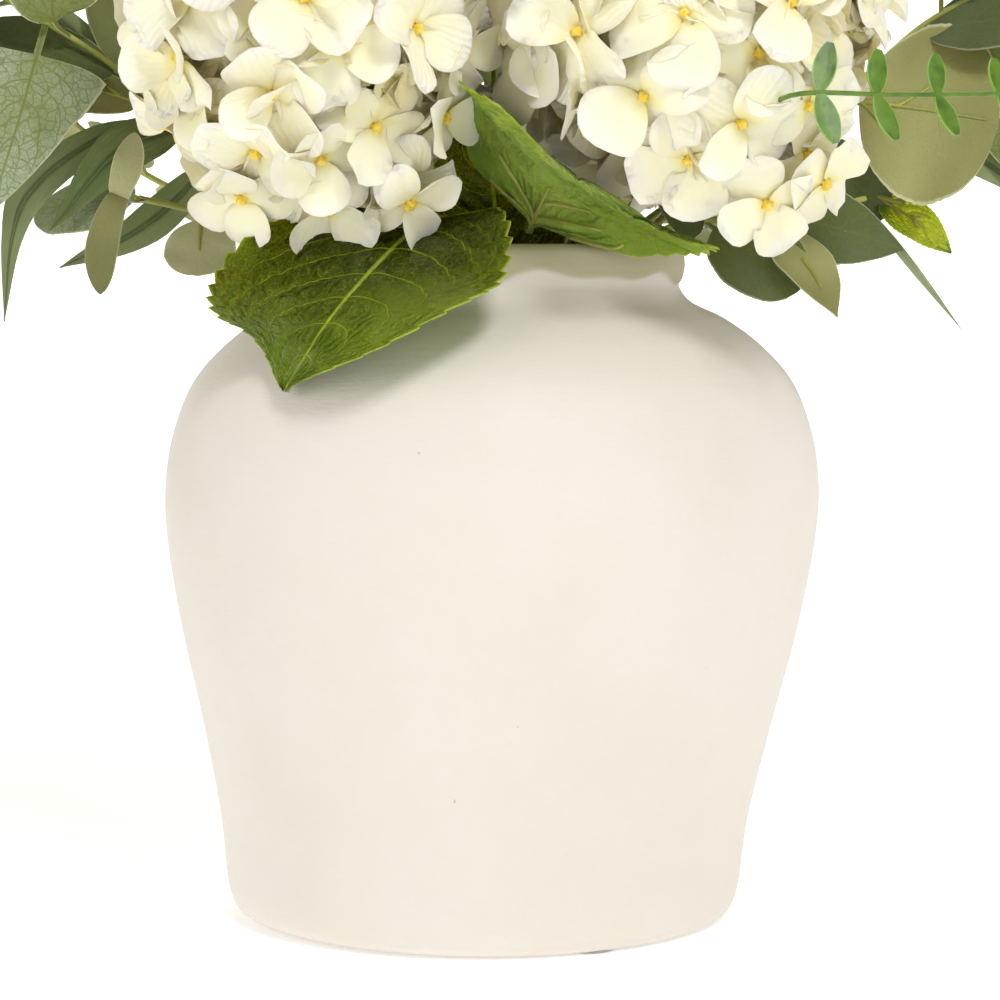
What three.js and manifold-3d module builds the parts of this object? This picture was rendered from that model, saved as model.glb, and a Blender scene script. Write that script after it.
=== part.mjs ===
// Hydrangeas in a vase: cream flower heads and mixed greenery that stand in a block of
// dry foam inside an off-white ceramic vase. Millimetres, +Z up, origin on the surface
// at the middle of the foot, -Y towards the viewer of the arrangement's front.

import * as THREE from 'three';
import { mergeVertices } from 'three/addons/utils/BufferGeometryUtils.js';
import Module from 'manifold-3d';

const wasm = await Module();
wasm.setup();

// ---------------------------------------------------------------- driving dimensions

const CLEARANCE = 0.3;
const WELD = 1e-4;

const PAD = { radius: 8.5, height: 1.2, ring: 81, turn: -64, count: 3, sides: 12 };
const FOOT_Z = PAD.height + CLEARANCE;

// Vase outline as [radius, height above the foot]; smooth curves run through the points.
const VASE_SIDES = 24;
const VASE_FOOT = [[0, 2.5], [68, 2.5], [71, 0], [86, 0], [91, 2]];
const VASE_BODY = [
  [94.3, 8], [98.5, 36], [106.3, 70.5], [114.8, 104.5], [120.6, 138], [121.8, 158],
  [119.2, 178], [110.8, 199], [97, 214], [84.5, 223], [74.2, 229], [70.9, 235],
];
const VASE_BODY_STEPS = 16;
const VASE_RIM = [[71.9, 243], [71, 248.5], [68.2, 250.6], [65.6, 249.5], [64.6, 245], [64.9, 234]];
const VASE_INSIDE = [
  [72, 225], [92, 209], [107, 192], [115.6, 160], [112.5, 122], [102, 70], [92.5, 24], [80, 9],
];
const VASE_INSIDE_STEPS = 6;
const VASE_FLOOR = [[60, 7], [0, 7]];
const FLOOR_Z = FOOT_Z + VASE_FLOOR[1][1];

const FOAM = { radius: 52, top: 222, sides: 16 };
const HOLE = { bottom: 186, sides: 6 };

// Stems and stalks by radius and number of sides. The first two points of a stem's route
// stand in its hole, and a broad leaf's stalk starts at a share of the whole route.
const BLOOM_STEM = { radius: 2.6, sides: 6 };
const SPRAY_STEM = { radius: 1.7, sides: 5 };
const SPRIG_STEM = { radius: 1.1, sides: 5 };
const LEAF_STALK = { radius: 1.4, sides: 5, root: 0.58 };
const ABOVE_FOAM = 2;
const LEAF_THICKNESS = 1.0;
const HYDRANGEA_THICKNESS = 1.2;

// A floret in shares of its radius: four broad petals, two raised and two flatter, round a
// deep throat, on a stalk that starts halfway to the middle of the head.
const FLORET = {
  petals: 4,
  shoulder: 0.5,
  cup: 0.16,
  flatter: 0.4,
  notch: 0.6,
  notchDrop: 0.05,
  throat: 0.2,
  neck: 0.2,
  neckDepth: 0.42,
  root: 0.5,
};

// A head in shares of its radii, and how far its florets differ from each other.
const HEAD = { core: 0.74, reach: 0.93, reachSpread: 0.03, tilt: 0.25, size: 0.94, sizeSpread: 0.12 };
const SPIRAL = Math.PI * (3 - Math.sqrt(5));

// Where a flower's stem runs below its head and ends inside it: the share of the middle's
// distance from the vase's axis, and the share of the head's radius below the middle.
const UNDER_HEAD = { spread: 0.66, drop: 0.86 };
const INSIDE_HEAD = { spread: 0.9, drop: 0.45 };

// Flower heads: middle, radii, florets, and where the stem stands in the foam.
const BLOOMS = {
  front_left: { at: [-68, -62, 329], size: [65, 63, 66], florets: 26, hole: [-13, -13], seed: 3 },
  front_right: { at: [71, -61, 330], size: [66, 63, 67], florets: 26, hole: [13, -13], seed: 12 },
  back_left: { at: [-67, 77, 325], size: [65, 62, 65], florets: 24, hole: [-13, 13], seed: 23 },
  back_right: { at: [69, 78, 327], size: [64, 62, 66], florets: 24, hole: [13, 13], seed: 31 },
  top: { at: [0, 9, 416], size: [64, 62, 56], florets: 24, hole: [0, 0], seed: 47 },
};

// Leaf outlines as [place along the leaf, share of the half width].
const OUTLINES = {
  round: [[0, 0.05], [0.15, 0.06], [0.3, 0.8], [0.56, 1], [0.84, 0.72], [1, 0.14]],
  long: [[0, 0.13], [0.14, 0.16], [0.42, 1], [0.72, 0.72], [1, 0.07]],
  small: [[0, 0.2], [0.55, 1], [1, 0.22]],
};

// A broad leaf's outline: its narrow foot, then forward-pointing teeth on an oval that runs
// between two shares of a half turn.
const TOOTH = { count: 9, depth: 0.1, lag: 0.3, first: 0.14 };
const OVAL = { from: 0.22, sweep: 0.74, fullness: 0.85 };
const BROAD_FOOT = [[0, 0.04], [0.07, 0.05]];
const BROAD_TIP = [1, 0.03];
const RUFFLE = { perRow: 2.4, perSide: 1.3 };

// How a regular row of leaves dwindles, and the leaf that ends it.
const ROW = { shorter: 0.35, narrower: 0.3, end: 0.985, endLength: 0.62, endWidth: 0.66 };

const COLOUR = {
  petal: 0xf4efdc,
  ceramic: 0xf6efe5,
  pad: 0xdedede,
  foam: 0x6f8f5f,
  leaf: 0x5f8a2c,
  sage: 0x87967a,
  olive: 0x6f7d4c,
  sprig: 0x3f8f3a,
};
const ROUGHNESS = { petal: 0.8, ceramic: 0.6, pad: 0.3, foam: 0.95, leaf: 0.5, spray: 0.6 };

// ---------------------------------------------------------------- meshes and solids

const vector = (point) => new THREE.Vector3(...point);

/** A closed geometry as a solid, turned so that its faces point out. */
function solidOf(geometry) {
  const bare = geometry.clone();
  bare.deleteAttribute('normal');
  bare.deleteAttribute('uv');
  const merged = mergeVertices(bare, WELD);
  const index = merged.index.array;
  const position = merged.attributes.position;
  const corners = [0, 1, 2].map(() => new THREE.Vector3());
  const triangles = [];
  let volume = 0;
  for (let i = 0; i < index.length; i += 3) {
    const [a, b, c] = index.slice(i, i + 3);
    if (a !== b && b !== c && a !== c) {
      corners.forEach((corner, k) => corner.fromBufferAttribute(position, index[i + k]));
      volume += corners[0].dot(corners[1].clone().cross(corners[2]));
      triangles.push([a, b, c]);
    }
  }
  const facing = volume > 0 ? triangles : triangles.map(([a, b, c]) => [a, c, b]);
  return new wasm.Manifold(new wasm.Mesh({
    numProp: 3,
    vertProperties: new Float32Array(position.array),
    triVerts: new Uint32Array(facing.flat()),
  }));
}

/** The solid as a geometry. */
function geometryOf(solid) {
  const mesh = solid.getMesh();
  const geometry = new THREE.BufferGeometry();
  geometry.setAttribute('position', new THREE.BufferAttribute(mesh.vertProperties, 3));
  geometry.setIndex(new THREE.BufferAttribute(mesh.triVerts, 1));
  geometry.computeVertexNormals();
  return geometry;
}

/** All the solids joined into one. */
function joined(solids) {
  return solids.reduce((whole, solid) => whole.add(solid));
}

/** The largest body of a solid, without the crumbs that a cut leaves. */
function largest(solid) {
  return solid.decompose().reduce((best, body) => (body.volume() > best.volume() ? body : best));
}

/**
 * A smooth curve that is stepped by its points: once along the straight first span,
 * which stands in a hole, and twice along each other span.
 */
class Route extends THREE.CatmullRomCurve3 {
  constructor(points) {
    super(points.map(vector));
    this.spans = points.length - 1;
    this.steps = 2 * this.spans - 1;
  }

  /** The curve's own parameter for an even share of the steps. */
  place(share) {
    const step = share * this.steps;
    return Math.min(step, (step + 1) / 2) / this.spans;
  }

  getSpacedPoints() {
    return Array.from({ length: this.steps + 1 }, (_, i) => this.getPoint(this.place(i / this.steps)));
  }

  getTangentAt(share, target) {
    return this.getTangent(this.place(share), target);
  }

  /** The curve's parameter at a share of the way from one of its points to the end. */
  beyond(point, share) {
    return (point + share * (this.spans - point)) / this.spans;
  }
}

/** A solid tube along a smooth curve through the points. */
function tube(points, radius, sides) {
  const section = new THREE.Shape();
  for (let i = 0; i < sides; i += 1) {
    const angle = (2 * Math.PI * i) / sides;
    const [x, y] = [radius * Math.cos(angle), radius * Math.sin(angle)];
    if (i === 0) section.moveTo(x, y);
    else section.lineTo(x, y);
  }
  section.closePath();
  const extrudePath = new Route(points);
  return solidOf(new THREE.ExtrudeGeometry(section, {
    steps: extrudePath.steps, bevelEnabled: false, extrudePath,
  }));
}

/** A repeatable stream of numbers from 0 to 1. */
function draws(seed) {
  let state = seed;
  return () => {
    state = (state * 16807) % 2147483647;
    return state / 2147483647;
  };
}

// ---------------------------------------------------------------- leaves

/**
 * A closed thin plate from rows of points, each with its normal. Both faces are split
 * into triangles alike, so a waved plate never crosses itself.
 */
function plate(rows, thickness) {
  const across = rows[0].length;
  const flat = rows.flat();
  const positions = [];
  for (const side of [0.5, -0.5]) {
    for (const { point, normal } of flat) {
      positions.push(...point.clone().addScaledVector(normal, side * thickness));
    }
  }
  const index = [];
  const quad = (a, b, c, d) => index.push(a, b, c, a, c, d);
  const under = flat.length;
  for (let r = 0; r < rows.length - 1; r += 1) {
    for (let c = 0; c < across - 1; c += 1) {
      const a = r * across + c;
      const [b, d] = [a + 1, a + across];
      index.push(a, b, d + 1, a, d + 1, d);
      index.push(under + a, under + d + 1, under + b, under + a, under + d, under + d + 1);
    }
    const left = r * across;
    const right = left + across - 1;
    quad(left, left + across, under + left + across, under + left);
    quad(right, under + right, under + right + across, right + across);
  }
  const last = (rows.length - 1) * across;
  for (let c = 0; c < across - 1; c += 1) {
    quad(c, under + c, under + c + 1, c + 1);
    quad(last + c, last + c + 1, under + last + c + 1, under + last + c);
  }
  const geometry = new THREE.BufferGeometry();
  geometry.setAttribute('position', new THREE.Float32BufferAttribute(positions, 3));
  geometry.setIndex(index);
  return solidOf(geometry);
}

/** The outline of a broad leaf, as [place, share of the half width]. */
function toothed() {
  const rows = [...BROAD_FOOT];
  const step = (1 - TOOTH.first) / TOOTH.count;
  for (let i = 0; i < TOOTH.count; i += 1) {
    const place = TOOTH.first + i * step;
    const width = Math.sin(Math.PI * (OVAL.from + (OVAL.sweep * i) / TOOTH.count)) ** OVAL.fullness;
    rows.push([place, width]);
    rows.push([place + TOOTH.lag * step, width - TOOTH.depth]);
  }
  rows.push(BROAD_TIP);
  return rows;
}

/**
 * One leaf blade with its stalk, along a curve through the spine's points. Its faces look
 * along face, which may turn to tipFace at the tip. cup lifts the edges, wave ruffles them,
 * and skew moves one edge towards the tip and the other towards the base.
 */
function leaf({
  spine, width, halves = [width / 2, width / 2], face, tipFace = face, outline,
  cup = 0, wave = 0, skew = 0, thickness = LEAF_THICKNESS, ribbed = false,
}) {
  const curve = new Route(spine);
  const places = ribbed ? [-1, 0, 1] : [-1, 1];
  const rows = outline.map(([t, share], row) => {
    const middle = curve.getPoint(t);
    const along = curve.getTangent(t);
    const facing = vector(face).lerp(vector(tipFace), t).normalize();
    const normal = facing.addScaledVector(along, -facing.dot(along)).normalize();
    const side = along.clone().cross(normal);
    return places.map((place) => {
      const ruffle = wave * Math.sin(RUFFLE.perRow * row + RUFFLE.perSide * place);
      const reach = place * share * halves[place < 0 ? 0 : 1];
      const point = middle.clone()
        .addScaledVector(side, reach)
        .addScaledVector(along, reach * skew)
        .addScaledVector(normal, Math.abs(place) * share * (cup * share + ruffle));
      return { point, normal };
    });
  });
  return plate(rows, thickness);
}

/** The point between base and tip at mid length, raised by arch along face. */
function arched(base, tip, face, arch) {
  const middle = vector(base).lerp(vector(tip), 0.5).addScaledVector(vector(face).normalize(), arch);
  return [base, [...middle], tip];
}

/** Leaves given by their tips, each growing from its place on the stem. */
function tippedLeaves(stem, leaves) {
  const curve = new Route(stem);
  return leaves.map(({ from, tip, face, arch = 0, kind = 'round', ...shape }) => leaf({
    spine: arched([...curve.getPoint(curve.beyond(ABOVE_FOAM, from))], tip, face, arch),
    face,
    outline: OUTLINES[kind],
    ...shape,
  }));
}

/** Leaves in a regular row, to the left and right of the stem by turns. */
function rowedLeaves(stem, {
  first, last, count, length, width, face, lean, kind, paired = false, arch = 0,
}) {
  const curve = new Route(stem);
  const leaves = [];
  for (let i = 0; i < count; i += 1) {
    const share = count > 1 ? i / (count - 1) : 0;
    const t = curve.beyond(ABOVE_FOAM, first + (last - first) * share);
    const base = curve.getPoint(t);
    const along = curve.getTangent(t);
    const normal = vector(face).addScaledVector(along, -vector(face).dot(along)).normalize();
    const side = along.clone().cross(normal);
    const reach = length * (1 - ROW.shorter * share);
    for (const hand of paired ? [-1, 1] : [i % 2 ? 1 : -1]) {
      const angle = (hand * lean * Math.PI) / 180;
      const tip = base.clone()
        .addScaledVector(along, reach * Math.cos(angle))
        .addScaledVector(side, reach * Math.sin(angle));
      leaves.push(leaf({
        spine: arched([...base], [...tip], [...normal], arch),
        width: width * (1 - ROW.narrower * share),
        face: [...normal],
        outline: OUTLINES[kind],
      }));
    }
  }
  const end = curve.getPoint(ROW.end);
  const tip = end.clone().addScaledVector(curve.getTangent(1), length * ROW.endLength);
  leaves.push(leaf({
    spine: arched([...end], [...tip], face, arch),
    width: width * ROW.endWidth,
    face,
    outline: OUTLINES[kind],
  }));
  return leaves;
}

// ---------------------------------------------------------------- flower heads

/** One floret as a closed solid: middle of the head, outward direction, size and spin. */
function floret(middle, outward, reach, size, spin, tilt) {
  const out = outward.clone().add(tilt).normalize();
  const helper = Math.abs(out.z) < 0.9 ? new THREE.Vector3(0, 0, 1) : new THREE.Vector3(1, 0, 0);
  const side = out.clone().cross(helper).normalize();
  const up = out.clone().cross(side);
  const centre = middle.clone().add(reach);
  const at = (angle, radius, height) => centre.clone()
    .addScaledVector(side, radius * Math.cos(angle))
    .addScaledVector(up, radius * Math.sin(angle))
    .addScaledVector(out, height);
  const { petals, shoulder, cup, flatter, notch, notchDrop, throat, neck, neckDepth, root } = FLORET;
  const points = [at(0, 0, -throat * size)];
  for (let i = 0; i < petals; i += 1) {
    const angle = spin + (2 * Math.PI * i) / petals;
    const height = cup * size * (i % 2 ? flatter : 1);
    points.push(at(angle - shoulder, size, height));
    points.push(at(angle + shoulder, size, height));
    points.push(at(angle + Math.PI / petals, notch * size, -notchDrop * size));
  }
  const rim = 3 * petals;
  for (let i = 0; i < petals; i += 1) {
    points.push(at(spin + (2 * Math.PI * i) / petals, neck * size, -neckDepth * size));
  }
  points.push(middle.clone().lerp(centre, root));
  const index = [];
  for (let i = 0; i < rim; i += 1) {
    const [a, b] = [1 + i, 1 + ((i + 1) % rim)];
    const petal = Math.floor(((i + 1) % rim) / 3);
    index.push(0, a, b);
    index.push(b, a, 1 + rim + petal);
  }
  for (let i = 0; i < petals; i += 1) {
    const [a, b] = [1 + rim + i, 1 + rim + ((i + 1) % petals)];
    index.push(1 + 3 * i + 2, a, b);
    index.push(b, a, points.length - 1);
  }
  const geometry = new THREE.BufferGeometry();
  geometry.setAttribute('position', new THREE.Float32BufferAttribute(points.flatMap((p) => [...p]), 3));
  geometry.setIndex(index);
  return solidOf(geometry);
}

/** A flower head: florets on a spiral round a smaller core, bare where the stem enters. */
function bloomHead({ at, size, florets, seed }) {
  const draw = draws(seed);
  const middle = vector(at);
  const radii = vector(size);
  const solids = [solidOf(new THREE.IcosahedronGeometry(HEAD.core, 1).scale(...size).translate(...at))];
  const spread = radii.x * Math.sqrt(Math.PI / florets);
  for (let i = 0; i < florets; i += 1) {
    const height = 1 - (2 * (i + 0.5)) / florets;
    const ring = Math.sqrt(1 - height ** 2);
    const angle = SPIRAL * i + seed;
    const outward = new THREE.Vector3(ring * Math.cos(angle), ring * Math.sin(angle), height);
    const reach = outward.clone().multiply(radii).multiplyScalar(HEAD.reach + HEAD.reachSpread * draw());
    const tilt = new THREE.Vector3(draw() - 0.5, draw() - 0.5, draw() - 0.5).multiplyScalar(HEAD.tilt);
    const petal = spread * (HEAD.size + HEAD.sizeSpread * draw());
    solids.push(floret(middle, outward, reach, petal, 2 * Math.PI * draw(), tilt));
  }
  return joined(solids);
}

// ---------------------------------------------------------------- vase and foam

const group = new THREE.Group();
const holes = [];

/** Adds one named piece. */
function addPiece(name, solid, color, roughness) {
  const material = new THREE.MeshStandardMaterial({ color, roughness, metalness: 0, flatShading: true });
  const mesh = new THREE.Mesh(geometryOf(solid), material);
  mesh.name = name;
  group.add(mesh);
}

/** The stem's foot: it stands upright in its hole in the foam. */
function footOf([x, y], radius) {
  holes.push({ x, y, radius: radius + CLEARANCE });
  return [[x, y, HOLE.bottom + CLEARANCE], [x, y, FOAM.top + 1]];
}

/** The ceramic shell, turned from its closed outline. */
function vase() {
  const smooth = (points, steps) => new THREE.SplineCurve(points.map(([x, y]) => new THREE.Vector2(x, y)))
    .getPoints(steps);
  const plain = (points) => points.map(([x, y]) => new THREE.Vector2(x, y));
  const outline = [
    ...plain(VASE_FOOT),
    ...smooth(VASE_BODY, VASE_BODY_STEPS),
    ...plain(VASE_RIM),
    ...smooth(VASE_INSIDE, VASE_INSIDE_STEPS),
    ...plain(VASE_FLOOR),
  ];
  const turned = new THREE.LatheGeometry(outline, VASE_SIDES).rotateX(Math.PI / 2);
  return solidOf(turned.translate(0, 0, FOOT_Z));
}

/** An upright round block between two heights. */
function roundBlock(radius, low, high, sides, x = 0, y = 0) {
  const block = new THREE.CylinderGeometry(radius, radius, high - low, sides).rotateX(Math.PI / 2);
  return solidOf(block.translate(x, y, (low + high) / 2));
}

/** The foam that stands on the vase's floor, with a plain hole for each stem. */
function foam() {
  const block = roundBlock(FOAM.radius, FLOOR_Z + CLEARANCE, FOAM.top, FOAM.sides);
  return holes.reduce((left, { x, y, radius }) => left.subtract(
    roundBlock(radius / Math.cos(Math.PI / HOLE.sides), HOLE.bottom, FOAM.top + 1, HOLE.sides, x, y),
  ), block);
}

// ---------------------------------------------------------------- blooms

// Broad serrated leaves on the heads' stems: the stalk's route, then the blade's midrib.
const BROAD_LEAVES = {
  front_left: [{
    stalk: [[-17, -43, 259], [-22, -58, 262]],
    spine: [[-22, -58, 262], [-40.6, -90, 245], [-54.6, -99, 226.4], [-71.4, -100, 201.2]],
    halves: [47.8, 60], face: [-0.12, -0.86, 0.5], tipFace: [-0.39, -0.29, 0.87], wave: 1.5, skew: 0.33,
  }],
  front_right: [{
    stalk: [[15, -40, 258], [14, -57, 256]],
    spine: [[14, -57, 256], [22.7, -72.7, 274.1], [26.5, -91.4, 274.7], [30.4, -99.8, 274.5]],
    halves: [60.5, 46.7], face: [0.53, 0.58, 0.62], tipFace: [0.23, 0.5, 0.83], cup: 7.7, wave: 1.5,
  }],
  back_left: [{
    stalk: [[-20, 45, 258], [-23, 66, 258]],
    spine: [[-23, 66, 258], [-36, 88, 249], [-50, 104, 231], [-60, 112, 202]],
    halves: [45, 45], face: [-0.2, 0.55, 0.8], tipFace: [-0.1, 0.9, 0.3], cup: -7, wave: 1.5,
  }],
  back_right: [{
    stalk: [[20, 44, 258], [24, 66, 258]],
    spine: [[24, 66, 258], [39, 88, 249], [54, 103, 231], [62, 110, 203]],
    halves: [42, 42], face: [0.2, 0.55, 0.8], tipFace: [0.1, 0.9, 0.3], cup: -7, wave: 1.5,
  }],
  top: [{
    stalk: [[-3, -12, 248], [-5, -22, 250]],
    spine: [[-5, -22, 250], [-8, -30, 262], [-10, -34, 278], [-8, -34, 300]],
    halves: [20, 20], face: [-0.1, -0.9, 0.3], cup: 3, wave: 1,
  }],
};

/** A broad leaf with its round stalk, which starts inside the flower's stem. */
function broadLeaf({ stalk, ...shape }, stem) {
  const blade = leaf({ outline: toothed(), thickness: HYDRANGEA_THICKNESS, ribbed: true, ...shape });
  const { radius, sides, root } = LEAF_STALK;
  return tube([[...new Route(stem).getPoint(root)], ...stalk], radius, sides).add(blade);
}

for (const [name, bloom] of Object.entries(BLOOMS)) {
  const { radius, sides } = BLOOM_STEM;
  const [x, y, z] = bloom.at;
  const onWay = ({ spread, drop }) => [x * spread, y * spread, z - bloom.size[2] * drop];
  const route = [...footOf(bloom.hole, radius), onWay(UNDER_HEAD)];
  const inside = onWay(INSIDE_HEAD);
  const path = [...route, inside];
  const end = new Route(path).getTangent(1).multiplyScalar(2 * CLEARANCE).add(vector(inside));
  const socket = tube([...route, [...end]], radius + CLEARANCE, sides);
  const leaves = BROAD_LEAVES[name].map((shape) => broadLeaf(shape, path));
  const head = largest(bloomHead(bloom).subtract(socket));
  addPiece(`hydrangea_head_${name}`, head, COLOUR.petal, ROUGHNESS.petal);
  addPiece(
    `hydrangea_stem_${name}`, joined([tube(path, radius, sides), ...leaves]), COLOUR.leaf, ROUGHNESS.leaf,
  );
}

// ---------------------------------------------------------------- greenery

// Sprays: where the stem stands in the foam, its route above it, and its leaves, given one
// by one by their tips or in a regular row. Places on a stem are shares of its route.
const SPRAYS = {
  eucalyptus_left_high: {
    hole: [-39, 4],
    route: [[-66, 7, 262], [-104, 8, 284], [-142, 2, 318], [-194, -4, 350]],
    color: COLOUR.sage,
    leaves: [
      { from: 0.64, tip: [-186, -16, 270], width: 46, face: [0.1, -0.9, 0.3], arch: 3 },
      { from: 0.72, tip: [-190, -14, 340], width: 40, face: [0.2, -0.7, 0.6], arch: 3 },
      { from: 0.9, tip: [-228, -6, 326], width: 42, face: [0.2, -0.8, 0.5], arch: 3 },
      { from: 0.76, tip: [-160, 0, 372], width: 40, face: [0.3, -0.8, 0.3], arch: 3 },
      { from: 0.98, tip: [-226, -8, 376], width: 38, face: [0.3, -0.8, 0.5], arch: 3 },
    ],
  },
  eucalyptus_left_low: {
    hole: [-37, -11],
    route: [[-66, -11, 257], [-96, -14, 261], [-126, -14, 267], [-146, -10, 272]],
    color: COLOUR.sage,
    leaves: [
      { from: 0.44, tip: [-108, -24, 236], width: 25, face: [-0.1, -0.9, 0.1], arch: 1 },
      { from: 0.68, tip: [-141, -42, 234], width: 14, face: [-0.5, -0.8, -0.3], arch: 2, kind: 'long' },
      { from: 0.6, tip: [-127, -40, 292], width: 12, face: [0.4, -0.7, 0.5], arch: 2, kind: 'long' },
      { from: 0.96, tip: [-186, -4, 262], width: 28, face: [0.1, -0.8, 0.5], arch: 2 },
    ],
  },
  long_leaves_left: {
    hole: [-33, 19],
    route: [[-62, 17, 262], [-98, 18, 286], [-124, 15, 302], [-150, 21, 314]],
    color: COLOUR.olive,
    leaves: [
      { from: 0.6, tip: [-178, 0, 223], width: 13, face: [0.6, -0.7, 0.4], arch: 8, kind: 'long' },
      { from: 0.52, tip: [-167, 8, 255], width: 14, face: [0.4, -0.7, 0.5], arch: 5, kind: 'long' },
      { from: 0.36, tip: [-165, 14, 238], width: 12, face: [0.4, -0.7, 0.5], arch: 6, kind: 'long' },
      { from: 0.94, tip: [-206, 22, 300], width: 15, face: [0.2, -0.7, 0.7], arch: 5, kind: 'long' },
      { from: 0.8, tip: [-186, 34, 352], width: 15, face: [0.2, -0.8, 0.5], arch: 4, kind: 'long' },
    ],
  },
  eucalyptus_right_high: {
    hole: [39, 4],
    route: [[66, 7, 262], [104, 8, 284], [132, 6, 306], [164, 12, 334], [196, 10, 350]],
    color: COLOUR.olive,
    leaves: [
      { from: 0.49, tip: [188, -8, 296], width: 70, face: [0.1, -0.95, 0.2], arch: 2 },
      { from: 0.75, tip: [207, -2, 326], width: 28, face: [-0.1, -0.7, 0.7], arch: 3 },
      { from: 0.88, tip: [206, 14, 276], width: 30, face: [-0.2, -0.9, 0.1], arch: 2 },
      { from: 0.79, tip: [168, 2, 380], width: 40, face: [-0.2, -0.9, 0.3], arch: 3 },
      { from: 0.98, tip: [228, 4, 372], width: 38, face: [-0.3, -0.8, 0.5], arch: 3 },
    ],
  },
  eucalyptus_right_low: {
    hole: [37, -11],
    route: [[66, -11, 257], [94, -14, 260], [122, -8, 264], [140, 2, 268]],
    color: COLOUR.sage,
    leaves: [
      { from: 0.32, tip: [112, -36, 231], width: 28, face: [0.3, -0.8, 0.5], arch: 2 },
      { from: 0.56, tip: [127, -48, 223], width: 22, face: [0.5, -0.7, 0.3], arch: 2 },
      { from: 0.8, tip: [156, -2, 235], width: 34, face: [0.1, -0.9, 0.3], arch: 2 },
      { from: 0.92, tip: [164, -6, 282], width: 26, face: [-0.1, -0.9, 0.4], arch: 2 },
    ],
  },
  sprig_right: {
    hole: [27, -1],
    route: [[60, 0, 274], [98, 1, 290], [132, -16, 303], [166, -40, 307], [212, -50, 305]],
    color: COLOUR.sprig,
    stem: SPRIG_STEM,
    row: {
      first: 0.51, last: 0.93, count: 4, length: 16, width: 9, lean: 62, kind: 'small', paired: true,
      face: [0.1, -0.9, 0.4],
    },
  },
  long_leaves_right: {
    hole: [33, 19],
    route: [[62, 17, 262], [98, 20, 274], [132, 16, 272], [156, 12, 266]],
    color: COLOUR.olive,
    leaves: [
      { from: 0.72, tip: [178, 5, 219], width: 8, face: [-0.2, -0.8, 0.6], arch: 3, kind: 'long' },
      { from: 0.84, tip: [184, 20, 246], width: 17, face: [0, -0.8, 0.6], arch: 3, kind: 'long' },
      { from: 0.96, tip: [206, 24, 262], width: 14, face: [-0.1, -0.8, 0.6], arch: 3, kind: 'long' },
      { from: 0.6, tip: [176, 40, 292], width: 14, face: [-0.1, -0.8, 0.6], arch: 3, kind: 'long' },
    ],
  },
  eucalyptus_back_left: {
    hole: [-6, 39],
    route: [[-6, 67, 258], [-7, 108, 266], [-18, 144, 282], [-46, 166, 322]],
    color: COLOUR.sage,
    row: {
      first: 0.56, last: 0.9, count: 4, length: 42, width: 38, lean: 62,
      kind: 'round', face: [-0.2, 0.8, 0.6], arch: 3,
    },
  },
  eucalyptus_back_right: {
    hole: [7, 39],
    route: [[7, 67, 258], [9, 108, 267], [22, 144, 284], [52, 166, 326]],
    color: COLOUR.sage,
    row: {
      first: 0.56, last: 0.9, count: 4, length: 42, width: 38, lean: 62,
      kind: 'round', face: [0.2, 0.8, 0.6], arch: 3,
    },
  },
  long_leaves_back: {
    hole: [0, 28],
    route: [[1, 62, 274], [1, 104, 306], [2, 140, 326], [4, 162, 338]],
    color: COLOUR.olive,
    row: {
      first: 0.48, last: 0.9, count: 4, length: 48, width: 14, lean: 40,
      kind: 'long', face: [0, 0.5, 0.9], arch: 4,
    },
  },
  eucalyptus_left_back: {
    hole: [-29, 27],
    route: [[-55, 42, 257], [-98, 56, 262], [-146, 72, 284], [-190, 86, 320]],
    color: COLOUR.sage,
    row: {
      first: 0.28, last: 0.9, count: 5, length: 42, width: 36, lean: 60,
      kind: 'round', face: [-0.5, 0.4, 0.8], arch: 3,
    },
  },
  eucalyptus_right_back: {
    hole: [29, 27],
    route: [[55, 42, 257], [98, 56, 262], [146, 72, 286], [190, 86, 324]],
    color: COLOUR.sage,
    row: {
      first: 0.28, last: 0.9, count: 5, length: 42, width: 36, lean: 60,
      kind: 'round', face: [0.5, 0.4, 0.8], arch: 3,
    },
  },
  eucalyptus_top_left: {
    hole: [-21, 2],
    route: [[-22, 6, 300], [-42, 8, 350], [-84, 8, 386], [-126, 8, 414], [-158, 8, 444]],
    color: COLOUR.sage,
    row: {
      first: 0.54, last: 0.91, count: 5, length: 38, width: 34, lean: 58,
      kind: 'round', face: [-0.6, -0.4, 0.7], arch: 3,
    },
  },
  long_leaves_top_right: {
    hole: [20, 8],
    route: [[20, 8, 300], [42, 8, 350], [84, 9, 386], [120, 9, 406], [148, 10, 416]],
    color: COLOUR.olive,
    row: {
      first: 0.58, last: 0.91, count: 5, length: 60, width: 14, lean: 42,
      kind: 'long', face: [0.4, -0.2, 0.9], arch: 4,
    },
  },
  sprig_front_top: {
    hole: [0, -22],
    route: [[1, -16, 262], [1, -16, 324], [1, -50, 360], [2, -92, 388], [6, -136, 404], [10, -176, 416]],
    color: COLOUR.sprig,
    stem: SPRIG_STEM,
    row: {
      first: 0.47, last: 0.93, count: 5, length: 16, width: 9, lean: 62, kind: 'small', paired: true,
      face: [0, -0.4, 0.9],
    },
  },
  eucalyptus_back_top: {
    hole: [0, 16],
    route: [[0, 30, 300], [0, 64, 350], [-2, 104, 386], [-6, 140, 410], [-10, 166, 436]],
    color: COLOUR.sage,
    row: {
      first: 0.54, last: 0.91, count: 5, length: 38, width: 34, lean: 58,
      kind: 'round', face: [0, 0.6, 0.8], arch: 3,
    },
  },
};

for (const [name, { hole, route, stem = SPRAY_STEM, color, leaves, row }] of Object.entries(SPRAYS)) {
  const { radius, sides } = stem;
  const path = [...footOf(hole, radius), ...route];
  const blades = row ? rowedLeaves(path, row) : tippedLeaves(path, leaves);
  addPiece(name, joined([tube(path, radius, sides), ...blades]), color, ROUGHNESS.spray);
}

// ---------------------------------------------------------------- vase, pads and foam

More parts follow.
